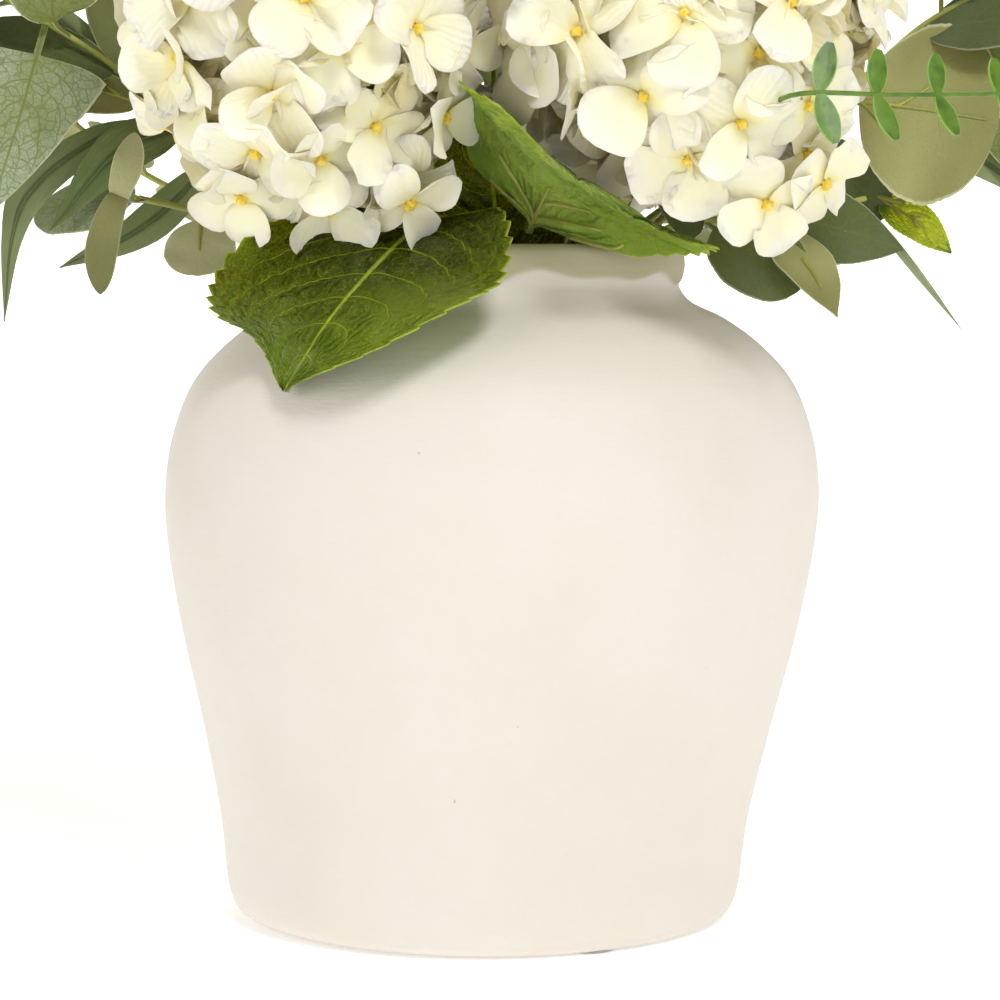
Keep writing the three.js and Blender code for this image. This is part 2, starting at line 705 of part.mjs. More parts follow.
addPiece('vase', vase(), COLOUR.ceramic, ROUGHNESS.ceramic);
for (let i = 0; i < PAD.count; i += 1) {
  const angle = ((PAD.turn + (360 * i) / PAD.count) * Math.PI) / 180;
  const [x, y] = [PAD.ring * Math.cos(angle), PAD.ring * Math.sin(angle)];
  const pad = roundBlock(PAD.radius, 0, PAD.height, PAD.sides, x, y);
  addPiece(`bumper_pad_${i + 1}`, pad, COLOUR.pad, ROUGHNESS.pad);
}
addPiece('foam_block', foam(), COLOUR.foam, ROUGHNESS.foam);

export default group;
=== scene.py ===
"""Hydrangeas in a vase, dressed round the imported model.

Cream flower heads and mixed greenery stand in a block of dry foam inside an off-white ceramic
vase. Places and sizes are in millimetres, as in the drawing of the part, and every mesh is
turned to metres when it is made. Heads, leaves and stems follow the routes of the solids that
they replace and add what those are too plain for: florets with cupped petals and golden
centres, veins, frayed edges, moulded ribs and the unevenness of a hand-finished vase.
"""

from __future__ import annotations

import logging
import math
from dataclasses import dataclass
from enum import Enum
from typing import Any, Sequence

import bmesh
import bpy
import numpy as np
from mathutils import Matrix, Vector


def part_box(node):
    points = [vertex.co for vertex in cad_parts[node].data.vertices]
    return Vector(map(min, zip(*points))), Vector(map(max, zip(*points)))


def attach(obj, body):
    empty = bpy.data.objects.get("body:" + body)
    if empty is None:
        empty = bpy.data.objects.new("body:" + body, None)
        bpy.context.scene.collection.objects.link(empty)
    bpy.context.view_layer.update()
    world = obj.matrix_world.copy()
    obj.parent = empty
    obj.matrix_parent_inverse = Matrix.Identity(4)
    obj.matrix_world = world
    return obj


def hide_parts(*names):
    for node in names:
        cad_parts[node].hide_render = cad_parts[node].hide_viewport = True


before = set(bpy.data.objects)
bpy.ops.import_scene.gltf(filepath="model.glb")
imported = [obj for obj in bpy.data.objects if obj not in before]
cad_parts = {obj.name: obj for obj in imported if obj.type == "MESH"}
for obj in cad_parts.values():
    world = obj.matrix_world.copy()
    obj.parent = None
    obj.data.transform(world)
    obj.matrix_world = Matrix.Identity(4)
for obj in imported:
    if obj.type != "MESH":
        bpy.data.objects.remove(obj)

log = logging.getLogger("hydrangeas")

MM = 0.001
BODY = "root"
WELD_DISTANCE = 1e-6
SHARP_ANGLE = 50.0
FULL_TURN = 2 * np.pi
Points = Sequence[Sequence[float]]
Colour = tuple[float, float, float, float]


def colour(red: int, green: int, blue: int) -> Colour:
    """Turns a display colour of 0 to 255 per channel into linear light.

    A channel's share of full, raised by 0.055 and scaled back, is taken to the power of 2.4.
    Its darkest eleven steps lie on a straight line instead.

    Args:
        red: The red channel.
        green: The green channel.
        blue: The blue channel.

    Returns:
        The linear colour with full opacity.
    """
    linear = [((c / 255 + 0.055) / 1.055) ** 2.4 if c > 10 else c / 3294.6 for c in (red, green, blue)]
    return (linear[0], linear[1], linear[2], 1.0)


# ---- curves and grids


def unit(vectors: np.ndarray) -> np.ndarray:
    """Scales vectors along the last axis to length one."""
    return vectors / np.maximum(np.linalg.norm(vectors, axis=-1, keepdims=True), 1e-12)


def ease(low: float, high: float, values: np.ndarray) -> np.ndarray:
    """Rises smoothly from 0 at low to 1 at high, as three squares less two cubes."""
    share = np.clip((values - low) / (high - low), 0, 1)
    return share * share * (3 - 2 * share)


class Route:
    """A smooth curve through points, evenly parametrised from point to point.

    Each span is a cubic whose end slopes come from the neighbouring points, weighted by the
    square roots of the distances between them, so that the curve doesn't loop.
    """

    step = 1e-4

    def __init__(self, points: Points) -> None:
        """Keeps the points, with one more mirrored beyond each end.

        Args:
            points: The points in millimetres.
        """
        inner = np.array(points, dtype=float)
        self.spans = len(inner) - 1
        self.points = np.vstack([2 * inner[0] - inner[1], inner, 2 * inner[-1] - inner[-2]])
        gaps = np.linalg.norm(np.diff(self.points, axis=0), axis=1)
        self.weights = np.sqrt(gaps)[:, None]

    def at(self, places: np.ndarray | float) -> np.ndarray:
        """Gives points of the curve.

        Args:
            places: Shares of the way along, counted by spans, in an array of one axis.

        Returns:
            The points, one row per place.
        """
        steps = np.atleast_1d(places) * self.spans
        span = np.clip(np.floor(steps).astype(int), 0, self.spans - 1)
        share = (steps - span)[:, None]
        before, start, end, after = (self.points[span + k] for k in range(4))
        w0, w1, w2 = (self.weights[span + k] for k in range(3))
        leave = ((start - before) / w0 - (end - before) / (w0 + w1) + (end - start) / w1) * w1
        arrive = ((end - start) / w1 - (after - start) / (w1 + w2) + (after - end) / w2) * w1
        square = -3 * start + 3 * end - 2 * leave - arrive
        cube = 2 * start - 2 * end + leave + arrive
        return start + leave * share + square * share**2 + cube * share**3

    def along(self, places: np.ndarray | float) -> np.ndarray:
        """Gives the curve's direction at places, as unit vectors from small steps."""
        ahead, behind = np.minimum(places + self.step, 1), np.maximum(places - self.step, 0)
        return unit(self.at(ahead) - self.at(behind))

    def beyond(self, point: int, share: float) -> float:
        """Gives the place at a share of the way from one of the curve's points to its end."""
        return (point + share * (self.spans - point)) / self.spans


@dataclass
class Patch:
    """Vertices, quads and what the finishes read from them.

    Attributes:
        vertices: Points in millimetres, shape (n, 3).
        quads: Four vertex numbers per face, shape (m, 4).
        uv: Place on the surface per vertex, shape (n, 2).
        marks: Four numbers per vertex that the finishes read, shape (n, 4).
    """

    vertices: np.ndarray
    quads: np.ndarray
    uv: np.ndarray
    marks: np.ndarray


def joined(patches: Sequence[Patch]) -> Patch:
    """Puts patches into one.

    Args:
        patches: The patches, at least one.

    Returns:
        One patch whose quads count on through all the vertices.
    """
    starts = np.cumsum([0] + [len(patch.vertices) for patch in patches[:-1]])
    return Patch(
        np.concatenate([patch.vertices for patch in patches]),
        np.concatenate([patch.quads + start for patch, start in zip(patches, starts)]),
        np.concatenate([patch.uv for patch in patches]),
        np.concatenate([patch.marks for patch in patches]),
    )


def grid_quads(rows: int, columns: int) -> np.ndarray:
    """Gives the quads of one grid, shape (faces, 4), turned from rows towards columns."""
    first = (np.arange(rows - 1)[:, None] * columns + np.arange(columns - 1)).reshape(-1, 1)
    return first + np.array([0, columns, columns + 1, 1])


def rim_quads(rows: int, columns: int) -> np.ndarray:
    """Gives the quads that join the edges of an upper grid to those of a lower one.

    Args:
        rows: Rows of each grid.
        columns: Columns of each grid; the lower grid's points follow the upper one's.

    Returns:
        The rim's quads, facing away from the middle of the sheet.
    """
    under = rows * columns
    grid = np.arange(under).reshape(rows, columns)
    ring = np.concatenate([grid[:, 0], grid[-1, 1:], grid[-2::-1, -1], grid[0, -2:0:-1]])
    following = np.roll(ring, -1)
    return np.stack([following, ring, ring + under, following + under], axis=1)


def repeated(quads: np.ndarray, count: int, points: int) -> np.ndarray:
    """Repeats one shape's quads for a number of shapes that each have so many points."""
    offsets = (np.arange(count) * points)[:, None, None]
    return (quads[None] + offsets).reshape(-1, 4)


def sheets(points: np.ndarray, thickness: np.ndarray | float, uv: np.ndarray, marks: np.ndarray) -> Patch:
    """Makes closed thin sheets: each grid, half the thickness up and down, and a rim.

    The up side is where rows cross columns right-handed. The last mark is replaced by 0 on the
    upper face and 1 on the lower one.

    Args:
        points: Grids of points, shape (n, rows, columns, 3).
        thickness: Thickness in millimetres, one number or shape (n, rows, columns).
        uv: Places, shape (n, rows, columns, 2).
        marks: Marks, shape (n, rows, columns, 4).

    Returns:
        One patch of n closed sheets.
    """
    count, rows, columns = points.shape[:3]
    normals = unit(np.cross(np.gradient(points, axis=1), np.gradient(points, axis=2)))
    half = np.broadcast_to(np.asarray(thickness) / 2, points.shape[:3])[..., None] * normals
    shell = np.stack([points + half, points - half], axis=1)
    both_uv = np.stack([uv, uv], axis=1)
    both_marks = np.stack([marks, marks], axis=1)
    both_marks[:, 0, ..., 3] = 0
    both_marks[:, 1, ..., 3] = 1
    top = grid_quads(rows, columns)
    quads = np.concatenate([top, top[:, ::-1] + rows * columns, rim_quads(rows, columns)])
    return Patch(
        shell.reshape(-1, 3),
        repeated(quads, count, 2 * rows * columns),
        both_uv.reshape(-1, 2),
        both_marks.reshape(-1, 4),
    )


def skin(points: np.ndarray, mark: np.ndarray | float = 0.0) -> Patch:
    """Makes skins from grids, most of them with columns that run round and meet at a seam.

    Args:
        points: Grids of points, shape (n, rows, columns, 3), a seam's column first and last.
        mark: The first mark, in a shape that broadcasts to (n, rows, columns).

    Returns:
        One patch with places from 0 to 1 along the rows and across the columns, facing outwards
        where the columns run anticlockwise round the rows' way.
    """
    count, *grid = points.shape[:3]
    places = np.stack(np.meshgrid(*(np.linspace(0, 1, size) for size in grid), indexing="ij"), axis=-1)
    marks = np.zeros((*points.shape[:3], 4))
    marks[..., 0] = mark
    return Patch(
        points.reshape(-1, 3),
        repeated(grid_quads(*grid)[:, ::-1], count, grid[0] * grid[1]),
        np.broadcast_to(places, (count, *places.shape)).reshape(-1, 2),
        marks.reshape(-1, 4),
    )


def beside(ways: np.ndarray) -> tuple[np.ndarray, np.ndarray]:
    """Gives two directions square to each of the ways: one level where it can be, one over it."""
    side = unit(np.cross(ways, np.where(np.abs(ways[:, 2:]) < 0.9, [[0.0, 0.0, 1.0]], [[1.0, 0.0, 0.0]])))
    return side, np.cross(ways, side)


def turned(radius: np.ndarray, height: np.ndarray, turn: np.ndarray) -> np.ndarray:
    """Turns an outline round the upright axis, by the cosine and sine of the turn."""
    rounds = np.broadcast_arrays(radius * np.cos(turn), radius * np.sin(turn), height)
    return np.stack(rounds, axis=-1)[None]


def rippled(turn: np.ndarray, base: np.ndarray | float, *waves: Sequence[Any]) -> np.ndarray:
    """Adds waves round a turn to a base.

    Args:
        turn: The angles round.
        base: What the waves are added to.
        waves: The depth, the count round and the phase of each.

    Returns:
        The base plus each depth times the sine of count times turn plus phase.
    """
    for depth, count, phase in waves:
        base = base + depth * np.sin(count * turn + phase)
    return base


def rods(paths: np.ndarray, radii: np.ndarray, sides: int) -> Patch:
    """Makes round rods with closed ends: circles carried along paths.

    Each circle lies across the path's direction and starts from one fixed direction, the
    axis that the path leans towards least.

    Args:
        paths: Points along each rod, shape (n, steps, 3).
        radii: Radius at each point, shape (n, steps).
        sides: Points round the rod.

    Returns:
        One patch of n rods.
    """
    path = np.concatenate([paths[:, :1], paths, paths[:, -1:]], axis=1)
    ways = unit(np.gradient(paths, axis=1))
    ways = np.concatenate([ways[:, :1], ways, ways[:, -1:]], axis=1)
    radius = np.concatenate([0 * radii[:, :1], radii, 0 * radii[:, -1:]], axis=1)
    lean = np.abs(ways).max(axis=1)
    start = np.eye(3)[np.argmin(lean, axis=1)][:, None, :]
    side = unit(np.cross(ways, start))
    up = np.cross(ways, side)
    turn = np.linspace(0, FULL_TURN, sides + 1)
    ring = np.cos(turn)[:, None] * side[:, :, None, :] + np.sin(turn)[:, None] * up[:, :, None, :]
    return skin(path[:, :, None, :] + radius[:, :, None, None] * ring)


def rod(points: Points, radius: float, tip: float, steps: int, sides: int) -> Patch:
    """Makes one rod along a smooth curve, its radius changing evenly along the curve.

    Args:
        points: The points that the curve passes.
        radius: The rod's radius at its start.
        tip: Its radius at its end.
        steps: Points along the rod.
        sides: Points round the rod.

    Returns:
        The rod.
    """
    places = np.linspace(0, 1, steps)
    path = Route(points).at(places)
    return rods(path[None], (radius + (tip - radius) * places)[None], sides)


# ---- shader recipes


class Wire:
    """A node's output whose arithmetic adds Math nodes to the same recipe."""

    def __init__(self, recipe: Recipe, socket: bpy.types.NodeSocket) -> None:
        """Keeps the output.

        Args:
            recipe: The recipe that the node belongs to.
            socket: The output socket.
        """
        self.recipe = recipe
        self.socket = socket

    def maths(self, operation: str, *values: Any) -> Wire:
        """Adds a Math node with the given values or wires."""
        return self.recipe.add("Math", {"operation": operation}, dict(enumerate(values)))

    def __add__(self, other: Any) -> Wire:
        """Adds a value or wire."""
        return self.maths("ADD", self, other)

    def __radd__(self, other: Any) -> Wire:
        """Adds this to a value."""
        return self.maths("ADD", other, self)

    def __sub__(self, other: Any) -> Wire:
        """Takes a value or wire away."""
        return self.maths("SUBTRACT", self, other)

    def __rsub__(self, other: Any) -> Wire:
        """Takes this away from a value."""
        return self.maths("SUBTRACT", other, self)

    def __mul__(self, other: Any) -> Wire:
        """Multiplies by a value or wire."""
        return self.maths("MULTIPLY", self, other)

    def __rmul__(self, other: Any) -> Wire:
        """Multiplies a value by this."""
        return self.maths("MULTIPLY", other, self)

    def __pow__(self, other: Any) -> Wire:
        """Raises to a power."""
        return self.maths("POWER", self, other)

    def __abs__(self) -> Wire:
        """Takes the size without its sign."""
        return self.maths("ABSOLUTE", self)

    def fraction(self) -> Wire:
        """Takes the part after the whole number."""
        return self.maths("FRACT", self)

    def wave(self) -> Wire:
        """Takes the sine."""
        return self.maths("SINE", self)

    def off_centre(self) -> Wire:
        """Turns a place across a surface into the share from its middle, 0, to its edges, 1."""
        return abs(self * 2.0 - 1.0)

    def at_least(self, other: Any) -> Wire:
        """Takes the larger of this and another."""
        return self.maths("MAXIMUM", self, other)

    def rise(self, low: float, high: float) -> Wire:
        """Rises smoothly from 0 at low to 1 at high; falls where low is the larger.

        Args:
            low: The value that gives 0.
            high: The value that gives 1.

        Returns:
            The share from 0 to 1.
        """
        first, last = min(low, high), max(low, high)
        start, end = (0.0, 1.0) if low < high else (1.0, 0.0)
        values = {"Value": self, "From Min": first, "From Max": last, "To Min": start, "To Max": end}
        return self.recipe.add("MapRange", {"interpolation_type": "SMOOTHSTEP"}, values)


class Recipe:
    """The nodes of one material."""

    def __init__(self, name: str) -> None:
        """Starts a material that holds only its shader and output.

        Args:
            name: The material's name.
        """
        self.material = bpy.data.materials.new(name)
        self.material.use_nodes = True
        self.nodes = self.material.node_tree.nodes
        self.links = self.material.node_tree.links
        self.shader = self.nodes["Principled BSDF"]

    def connect(self, socket: bpy.types.NodeSocket, value: Any) -> None:
        """Links a wire to an input, or sets the input's own value.

        Args:
            socket: The input.
            value: The wire or value.
        """
        if isinstance(value, Wire):
            self.links.new(value.socket, socket)
        else:
            socket.default_value = value

    def add(
        self, kind: str, settings: dict[str, Any], values: dict[int | str, Any], output: int | str = 0
    ) -> Wire:
        """Adds one node.

        Args:
            kind: The node's type without its ShaderNode prefix.
            settings: Properties that are set first.
            values: Input values or wires by name or number.
            output: The output that the wire carries.

        Returns:
            The node's output.
        """
        node = self.nodes.new(f"ShaderNode{kind}")
        for name, setting in settings.items():
            setattr(node, name, setting)
        for key, value in values.items():
            self.connect(node.inputs[key], value)
        return Wire(self, node.outputs[output])

    def finish(self, **sockets: Any) -> bpy.types.Material:
        """Sets the shader's inputs.

        Args:
            sockets: Values or wires by the input's name, with _ for spaces.

        Returns:
            The finished material.
        """
        for name, value in sockets.items():
            self.connect(self.shader.inputs[name.replace("_", " ")], value)
        return self.material

    def place(self) -> Wire:
        """Gives the point's place on the object, in metres."""
        return self.add("TexCoord", {}, {}, "Object")

    def split(self, vector: Wire) -> tuple[Wire, Wire, Wire]:
        """Splits a vector into its three numbers.

        Args:
            vector: The vector.

        Returns:
            Its x, y and z.
        """
        x = self.add("SeparateXYZ", {}, {"Vector": vector}, "X")
        outputs = x.socket.node.outputs
        return x, Wire(self, outputs["Y"]), Wire(self, outputs["Z"])

    def surface(self) -> tuple[Wire, Wire]:
        """Reads the places along and across the piece's own surface, from 0 to 1."""
        along, across, _ = self.split(self.add("UVMap", {"uv_map": "UVMap"}, {}))
        return along, across

    def marks(self) -> tuple[Wire, Wire, Wire, Wire]:
        """Reads what the piece stores at its points.

        Returns:
            The four marks.
        """
        marks = self.add("Attribute", {"attribute_name": "marks"}, {}, "Color")
        first = self.add("SeparateColor", {}, {"Color": marks}, "Red")
        outputs = first.socket.node.outputs
        last = Wire(self, marks.socket.node.outputs["Alpha"])
        return first, Wire(self, outputs["Green"]), Wire(self, outputs["Blue"]), last

    def noise(
        self, scale: float, detail: float = 2.0, vector: Wire | None = None, rough: float = 0.5
    ) -> Wire:
        """Adds soft noise from 0 to 1, its scale in bumps per metre on the object."""
        values = {"Vector": vector or self.place(), "Scale": scale, "Detail": detail, "Roughness": rough}
        return self.add("TexNoise", {}, values, "Fac")

    def wandering(self, scale: float, reach: float) -> Wire:
        """Gives the place on the object, pushed about by noise.

        Args:
            scale: The noise's scale in bumps per metre.
            reach: The greatest push in millimetres.

        Returns:
            The pushed place.
        """
        push = self.add("TexNoise", {}, {"Vector": self.place(), "Scale": scale}, "Color")
        values = {0: push, 1: (reach * MM,) * 3, 2: self.place()}
        return self.add("VectorMath", {"operation": "MULTIPLY_ADD"}, values)

    def cells(self, scale: float, vector: Wire | None = None) -> Wire:
        """Adds the distance to the edges between cells, 0 on an edge."""
        values = {"Vector": vector or self.place(), "Scale": scale}
        return self.add("TexVoronoi", {"feature": "DISTANCE_TO_EDGE"}, values, "Distance")

    def blend(self, share: Any, base: Any, over: Any) -> Wire:
        """Mixes two colours by a share from 0 to 1."""
        return self.add("Mix", {"data_type": "RGBA"}, {"Factor": share, 6: base, 7: over}, 2)

    def bump(self, height: Wire, depth: float) -> Wire:
        """Turns a height from 0 to 1 into a normal, with the depth in millimetres."""
        return self.add("Bump", {}, {"Strength": 1.0, "Distance": depth * MM, "Height": height})


# ---- finishes


LEAF_MARK = 64.0


@dataclass(frozen=True)
class VeinPattern:
    """How a leaf's side veins run from its midrib.

    Attributes:
        count: How many there are on one side.
        sweep: How far they run towards the tip by the time they reach the edge.
        bend: The power of the distance off the midrib by which they sweep.
        drift: How far noise pushes them, in shares of their spacing.
        drift_scale: The noise's scale in bumps per metre.
        drift_detail: The noise's detail.
        midrib: The midrib's greatest half width in millimetres.
        thinning: How much of it is gone at the tip.
        soft: The share of it from which it fades.
    """

    count: float
    sweep: float
    bend: float
    drift: float
    drift_scale: float
    drift_detail: float
    midrib: float
    thinning: float
    soft: float

    def order(self, along: Any, off_centre: Any) -> Any:
        """Counts the veins up to a point, on arrays as on wires."""
        return (along - off_centre**self.bend * self.sweep) * self.count

    def lines(self, recipe: Recipe, along: Wire, off_centre: Wire, width: Wire) -> tuple[Wire, Wire]:
        """Draws the midrib, and measures the distance to the side veins.

        Args:
            recipe: The recipe that gets the nodes.
            along: Places along the leaf.
            off_centre: Shares from the midrib to the edge.
            width: The leaf's half width as a share of LEAF_MARK.

        Returns:
            The midrib, and the distance to the nearest side vein in shares of their spacing.
        """
        reach = off_centre * width * LEAF_MARK
        midrib = (reach + along * self.thinning).rise(self.midrib, self.soft)
        drift = recipe.noise(self.drift_scale, self.drift_detail) * self.drift
        return midrib, abs((self.order(along, off_centre) + drift).fraction() - 0.5)


BROAD_VEINS = VeinPattern(6.5, 0.5, 2.2, 0.12, 60, 1, 1.25, 0.6, 0.7)
ROUND_VEINS = VeinPattern(7.0, 0.3, 1.3, 0.5, 70, 2, 0.95, 0.35, 0.45)


@dataclass(frozen=True)
class Finish:
    """A finish that turns into one material.

    Attributes:
        name: The material's name.
        slot: The material slot of the record that it stands for; not used.
    """

    name: str
    slot: str

    def dress(self, recipe: Recipe) -> bpy.types.Material:
        """Builds the nodes; each kind of finish says how.

        Args:
            recipe: The recipe that gets the nodes.

        Returns:
            The material.
        """
        raise NotImplementedError

    def material(self) -> bpy.types.Material:
        """Gives the material, which is made once."""
        known = bpy.data.materials.get(self.name)
        return known or self.dress(Recipe(self.name))


@dataclass(frozen=True)
class SilkPetal(Finish):
    """Cream petal cloth: paler at the rim and yellow in the throat, with painted warm shade deep in the head.
    """

    rim: Colour = colour(255, 251, 236)
    cream: Colour = colour(254, 247, 214)
    throat: Colour = colour(248, 233, 150)
    shaded: Colour = colour(255, 235, 136)
    pleats: float = 56
    pleat_drift: float = 14
    weave: float = 2600

    def dress(self, recipe: Recipe) -> bpy.types.Material:
        """Mixes from throat to rim by the distance from the centre, paints warm shade deep in the head, and
        pleats the cloth.

        Args:
            recipe: The recipe that gets the nodes.

        Returns:
            The material.
        """
        outward, tone, inner, _ = recipe.marks()
        _, across = recipe.surface()
        body = recipe.blend(outward.rise(0.0, 0.3), self.throat, self.cream)
        drift = recipe.noise(60, 2) * 0.35
        body = recipe.blend(outward.rise(0.45, 1.05) * 0.8 + drift * tone, body, self.rim)
        # Painted shade: the parts of the petals that lie deep in the head take the warm shaded colour.
        body = recipe.blend(inner * 0.85, body, self.shaded)
        pleat = (across * self.pleats + recipe.noise(110, 2) * self.pleat_drift).wave()
        pleat = pleat * tone.rise(0.2, 0.9) * outward
        weave = recipe.noise(self.weave, 1)
        return recipe.finish(
            Base_Color=body,
            Roughness=0.62,
            Specular_IOR_Level=0.25,
            Subsurface_Weight=0.5,
            Subsurface_Radius=(1.0, 0.88, 0.5),
            Subsurface_Scale=0.6 * MM,
            Normal=recipe.bump(pleat * 0.8 + weave * 0.15, 0.2),
        )


@dataclass(frozen=True)
class GoldenCentre(Finish):
    """The floret's small moulded centre, golden yellow and slightly glossy."""

    gold: Colour = colour(242, 204, 52)
    pale: Colour = colour(250, 230, 124)

    def dress(self, recipe: Recipe) -> bpy.types.Material:
        """Mixes gold and a paler yellow in patches.

        Args:
            recipe: The recipe that gets the nodes.

        Returns:
            The material.
        """
        patches = recipe.noise(420, 2).rise(0.4, 0.75)
        return recipe.finish(
            Base_Color=recipe.blend(patches, self.gold, self.pale),
            Roughness=0.38,
            Specular_IOR_Level=0.5,
            Normal=recipe.bump(recipe.noise(700, 2), 0.25),
        )


@dataclass(frozen=True)
class BroadLeafCloth(Finish):
    """Printed hydrangea leaf cloth, waxed above: yellow-green veins on deep green, with painted shade that
    darkens it towards its base.
    """

    # The deep green is also the painted shade towards the leaf's base, and the fresh green the unshaded
    # cloth.
    deep: Colour = colour(22, 31, 0)
    fresh_and_unshaded: Colour = colour(72, 102, 22)
    vein: Colour = colour(160, 178, 56)
    under: Colour = colour(164, 188, 92)
    under_deep: Colour = colour(106, 136, 54)
    net: float = 260
    fine_net: float = 900
    ladder: float = 62

    def dress(self, recipe: Recipe) -> bpy.types.Material:
        """Draws a midrib, curved side veins and a fine net, from the place on the leaf, and paints shade
        towards its base.

        Args:
            recipe: The recipe that gets the nodes.

        Returns:
            The material.
        """
        tone, _, width, under = recipe.marks()
        along, across = recipe.surface()
        off_centre = across.off_centre()
        midrib, line = BROAD_VEINS.lines(recipe, along, off_centre, width)
        side = line.rise(0.03, 0.006) * off_centre.rise(1.0, 0.6)
        wander = recipe.wandering(170, 5.0)
        net = recipe.cells(self.net, wander).rise(0.06, 0.02) * 0.32
        fine = recipe.cells(self.fine_net, wander).rise(0.16, 0.04) * 0.22
        specks = recipe.noise(1500, 3, rough=0.75).rise(0.5, 0.7)
        mesh = (net + fine) * (specks * 0.6 + 0.4) * (along * 0.9 + tone * 0.3 + 0.1)
        veins = midrib.at_least(side * 0.6).at_least(mesh)
        patches = recipe.noise(28, 3).rise(0.3, 0.75) * 0.5 + off_centre.rise(0.6, 1.0) * 0.5
        # Painted shade: the cloth turns from the fresh green to the deep one towards the leaf's base, under
        # the heads; the patches are the cloth's own.
        fresh_and_unshaded = (patches * 0.35 + along * 0.95 + tone.rise(0.65, 1.0)).rise(0.3, 1.0)
        # A low tone darkens the whole leaf; on the top leaf this is painted shade.
        fresh_and_unshaded = fresh_and_unshaded * tone.rise(0.1, 0.6)
        upper = recipe.blend(fresh_and_unshaded, self.deep, self.fresh_and_unshaded)
        upper = recipe.blend(specks * 0.2 + tone.rise(0.65, 1.0) * 0.4, upper, self.vein)
        upper = recipe.blend(veins, upper, self.vein)
        lower = recipe.blend(recipe.noise(30, 3).rise(0.3, 0.8), self.under_deep, self.under)
        lower = recipe.blend(side * 0.25, lower, self.vein)
        edge = off_centre.rise(0.975, 1.0) * 0.35
        face = recipe.blend(edge, recipe.blend(under, upper, lower), self.vein)
        patch = recipe.noise(45, 2).rise(0.42, 0.62)
        ladder = (off_centre * self.ladder + recipe.noise(120, 3) * 16.0).wave()
        ladder = ladder * line.rise(0.08, 0.3) * patch
        height = recipe.noise(420, 3) * 0.5 + ladder * 1.4 - side * 0.9 - net * 0.8
        return recipe.finish(
            Base_Color=face,
            Roughness=0.22 + under * 0.3 + recipe.noise(90, 2) * 0.16,
            Specular_IOR_Level=0.36,
            Specular_Tint=(0.75, 0.85, 0.3, 1.0),
            Subsurface_Weight=0.8,
            Subsurface_Radius=(1.0, 0.9, 0.15),
            Subsurface_Scale=5.0 * MM,
            Normal=recipe.bump(height, 1.0),
        )


@dataclass(frozen=True)
class RoundLeafCloth(Finish):
    """Printed eucalyptus cloth: a sage face with an olive net of veins, a khaki underside."""

    sage: Colour = colour(162, 176, 150)
    olive: Colour = colour(126, 138, 80)
    dark: Colour = colour(66, 80, 38)
    vein: Colour = colour(112, 118, 44)
    khaki: Colour = colour(164, 164, 108)
    khaki_deep: Colour = colour(122, 122, 66)
    fray: Colour = colour(206, 206, 172)
    net: float = 230
    fine_net: float = 700
    weave: float = 1900

    def dress(self, recipe: Recipe) -> bpy.types.Material:
        """Draws a midrib, side veins and two sizes of net, from the place on the leaf, and lightens the
        palest leaves' undersides as painted light.

        Args:
            recipe: The recipe that gets the nodes.

        Returns:
            The material.
        """
        tone, seed, width, under = recipe.marks()
        along, across = recipe.surface()
        off_centre = across.off_centre()
        midrib, line = ROUND_VEINS.lines(recipe, along, off_centre, width)
        side = line.rise(0.05, 0.012) * off_centre.rise(0.98, 0.8)
        wander = recipe.wandering(160, 5.0)
        net = recipe.cells(self.net, wander).rise(0.08, 0.02) * 0.8
        fine = recipe.cells(self.fine_net, wander).rise(0.14, 0.03) * 0.45
        veins = midrib.at_least(side).at_least(net).at_least(fine)
        patches = (recipe.noise(26, 3) + seed * 0.3).rise(0.45, 0.85)
        upper = recipe.blend(patches, self.sage, self.olive)
        upper = recipe.blend(tone.rise(0.6, 0.05) * 0.88, upper, self.dark)
        upper = recipe.blend(veins * (tone.rise(0.05, 0.6) * 0.6 + 0.25), upper, self.vein)
        flecks = recipe.noise(1500, 2, rough=0.7).rise(0.55, 0.75)
        dark = recipe.noise(22, 3).rise(0.35, 0.8) * 0.7 + flecks * 0.3
        lower = recipe.blend(dark * 0.7 + along.rise(0.45, 0.85) * 0.5, self.khaki, self.khaki_deep)
        lower = recipe.blend(tone.rise(0.6, 0.05) * 0.6, lower, self.dark)
        # Painted light: the palest leaves have their underside lifted towards the pale fray colour, for a
        # leaf that hangs in the heads' shade.
        lower = recipe.blend(tone.rise(0.9, 1.0) * 0.5, lower, self.fray)
        face = recipe.blend(under, upper, lower)
        edge = (off_centre + recipe.noise(900, 2) * 0.03).rise(0.965, 0.995) * (tone * 0.6 + 0.3)
        face = recipe.blend(edge, face, self.fray)
        weave = recipe.noise(self.weave, 2, rough=0.6)
        return recipe.finish(
            Base_Color=face,
            Roughness=0.7,
            Specular_IOR_Level=0.3,
            Sheen_Weight=0.08,
            Normal=recipe.bump(weave * 0.5 - veins * 0.3, 0.25),
        )


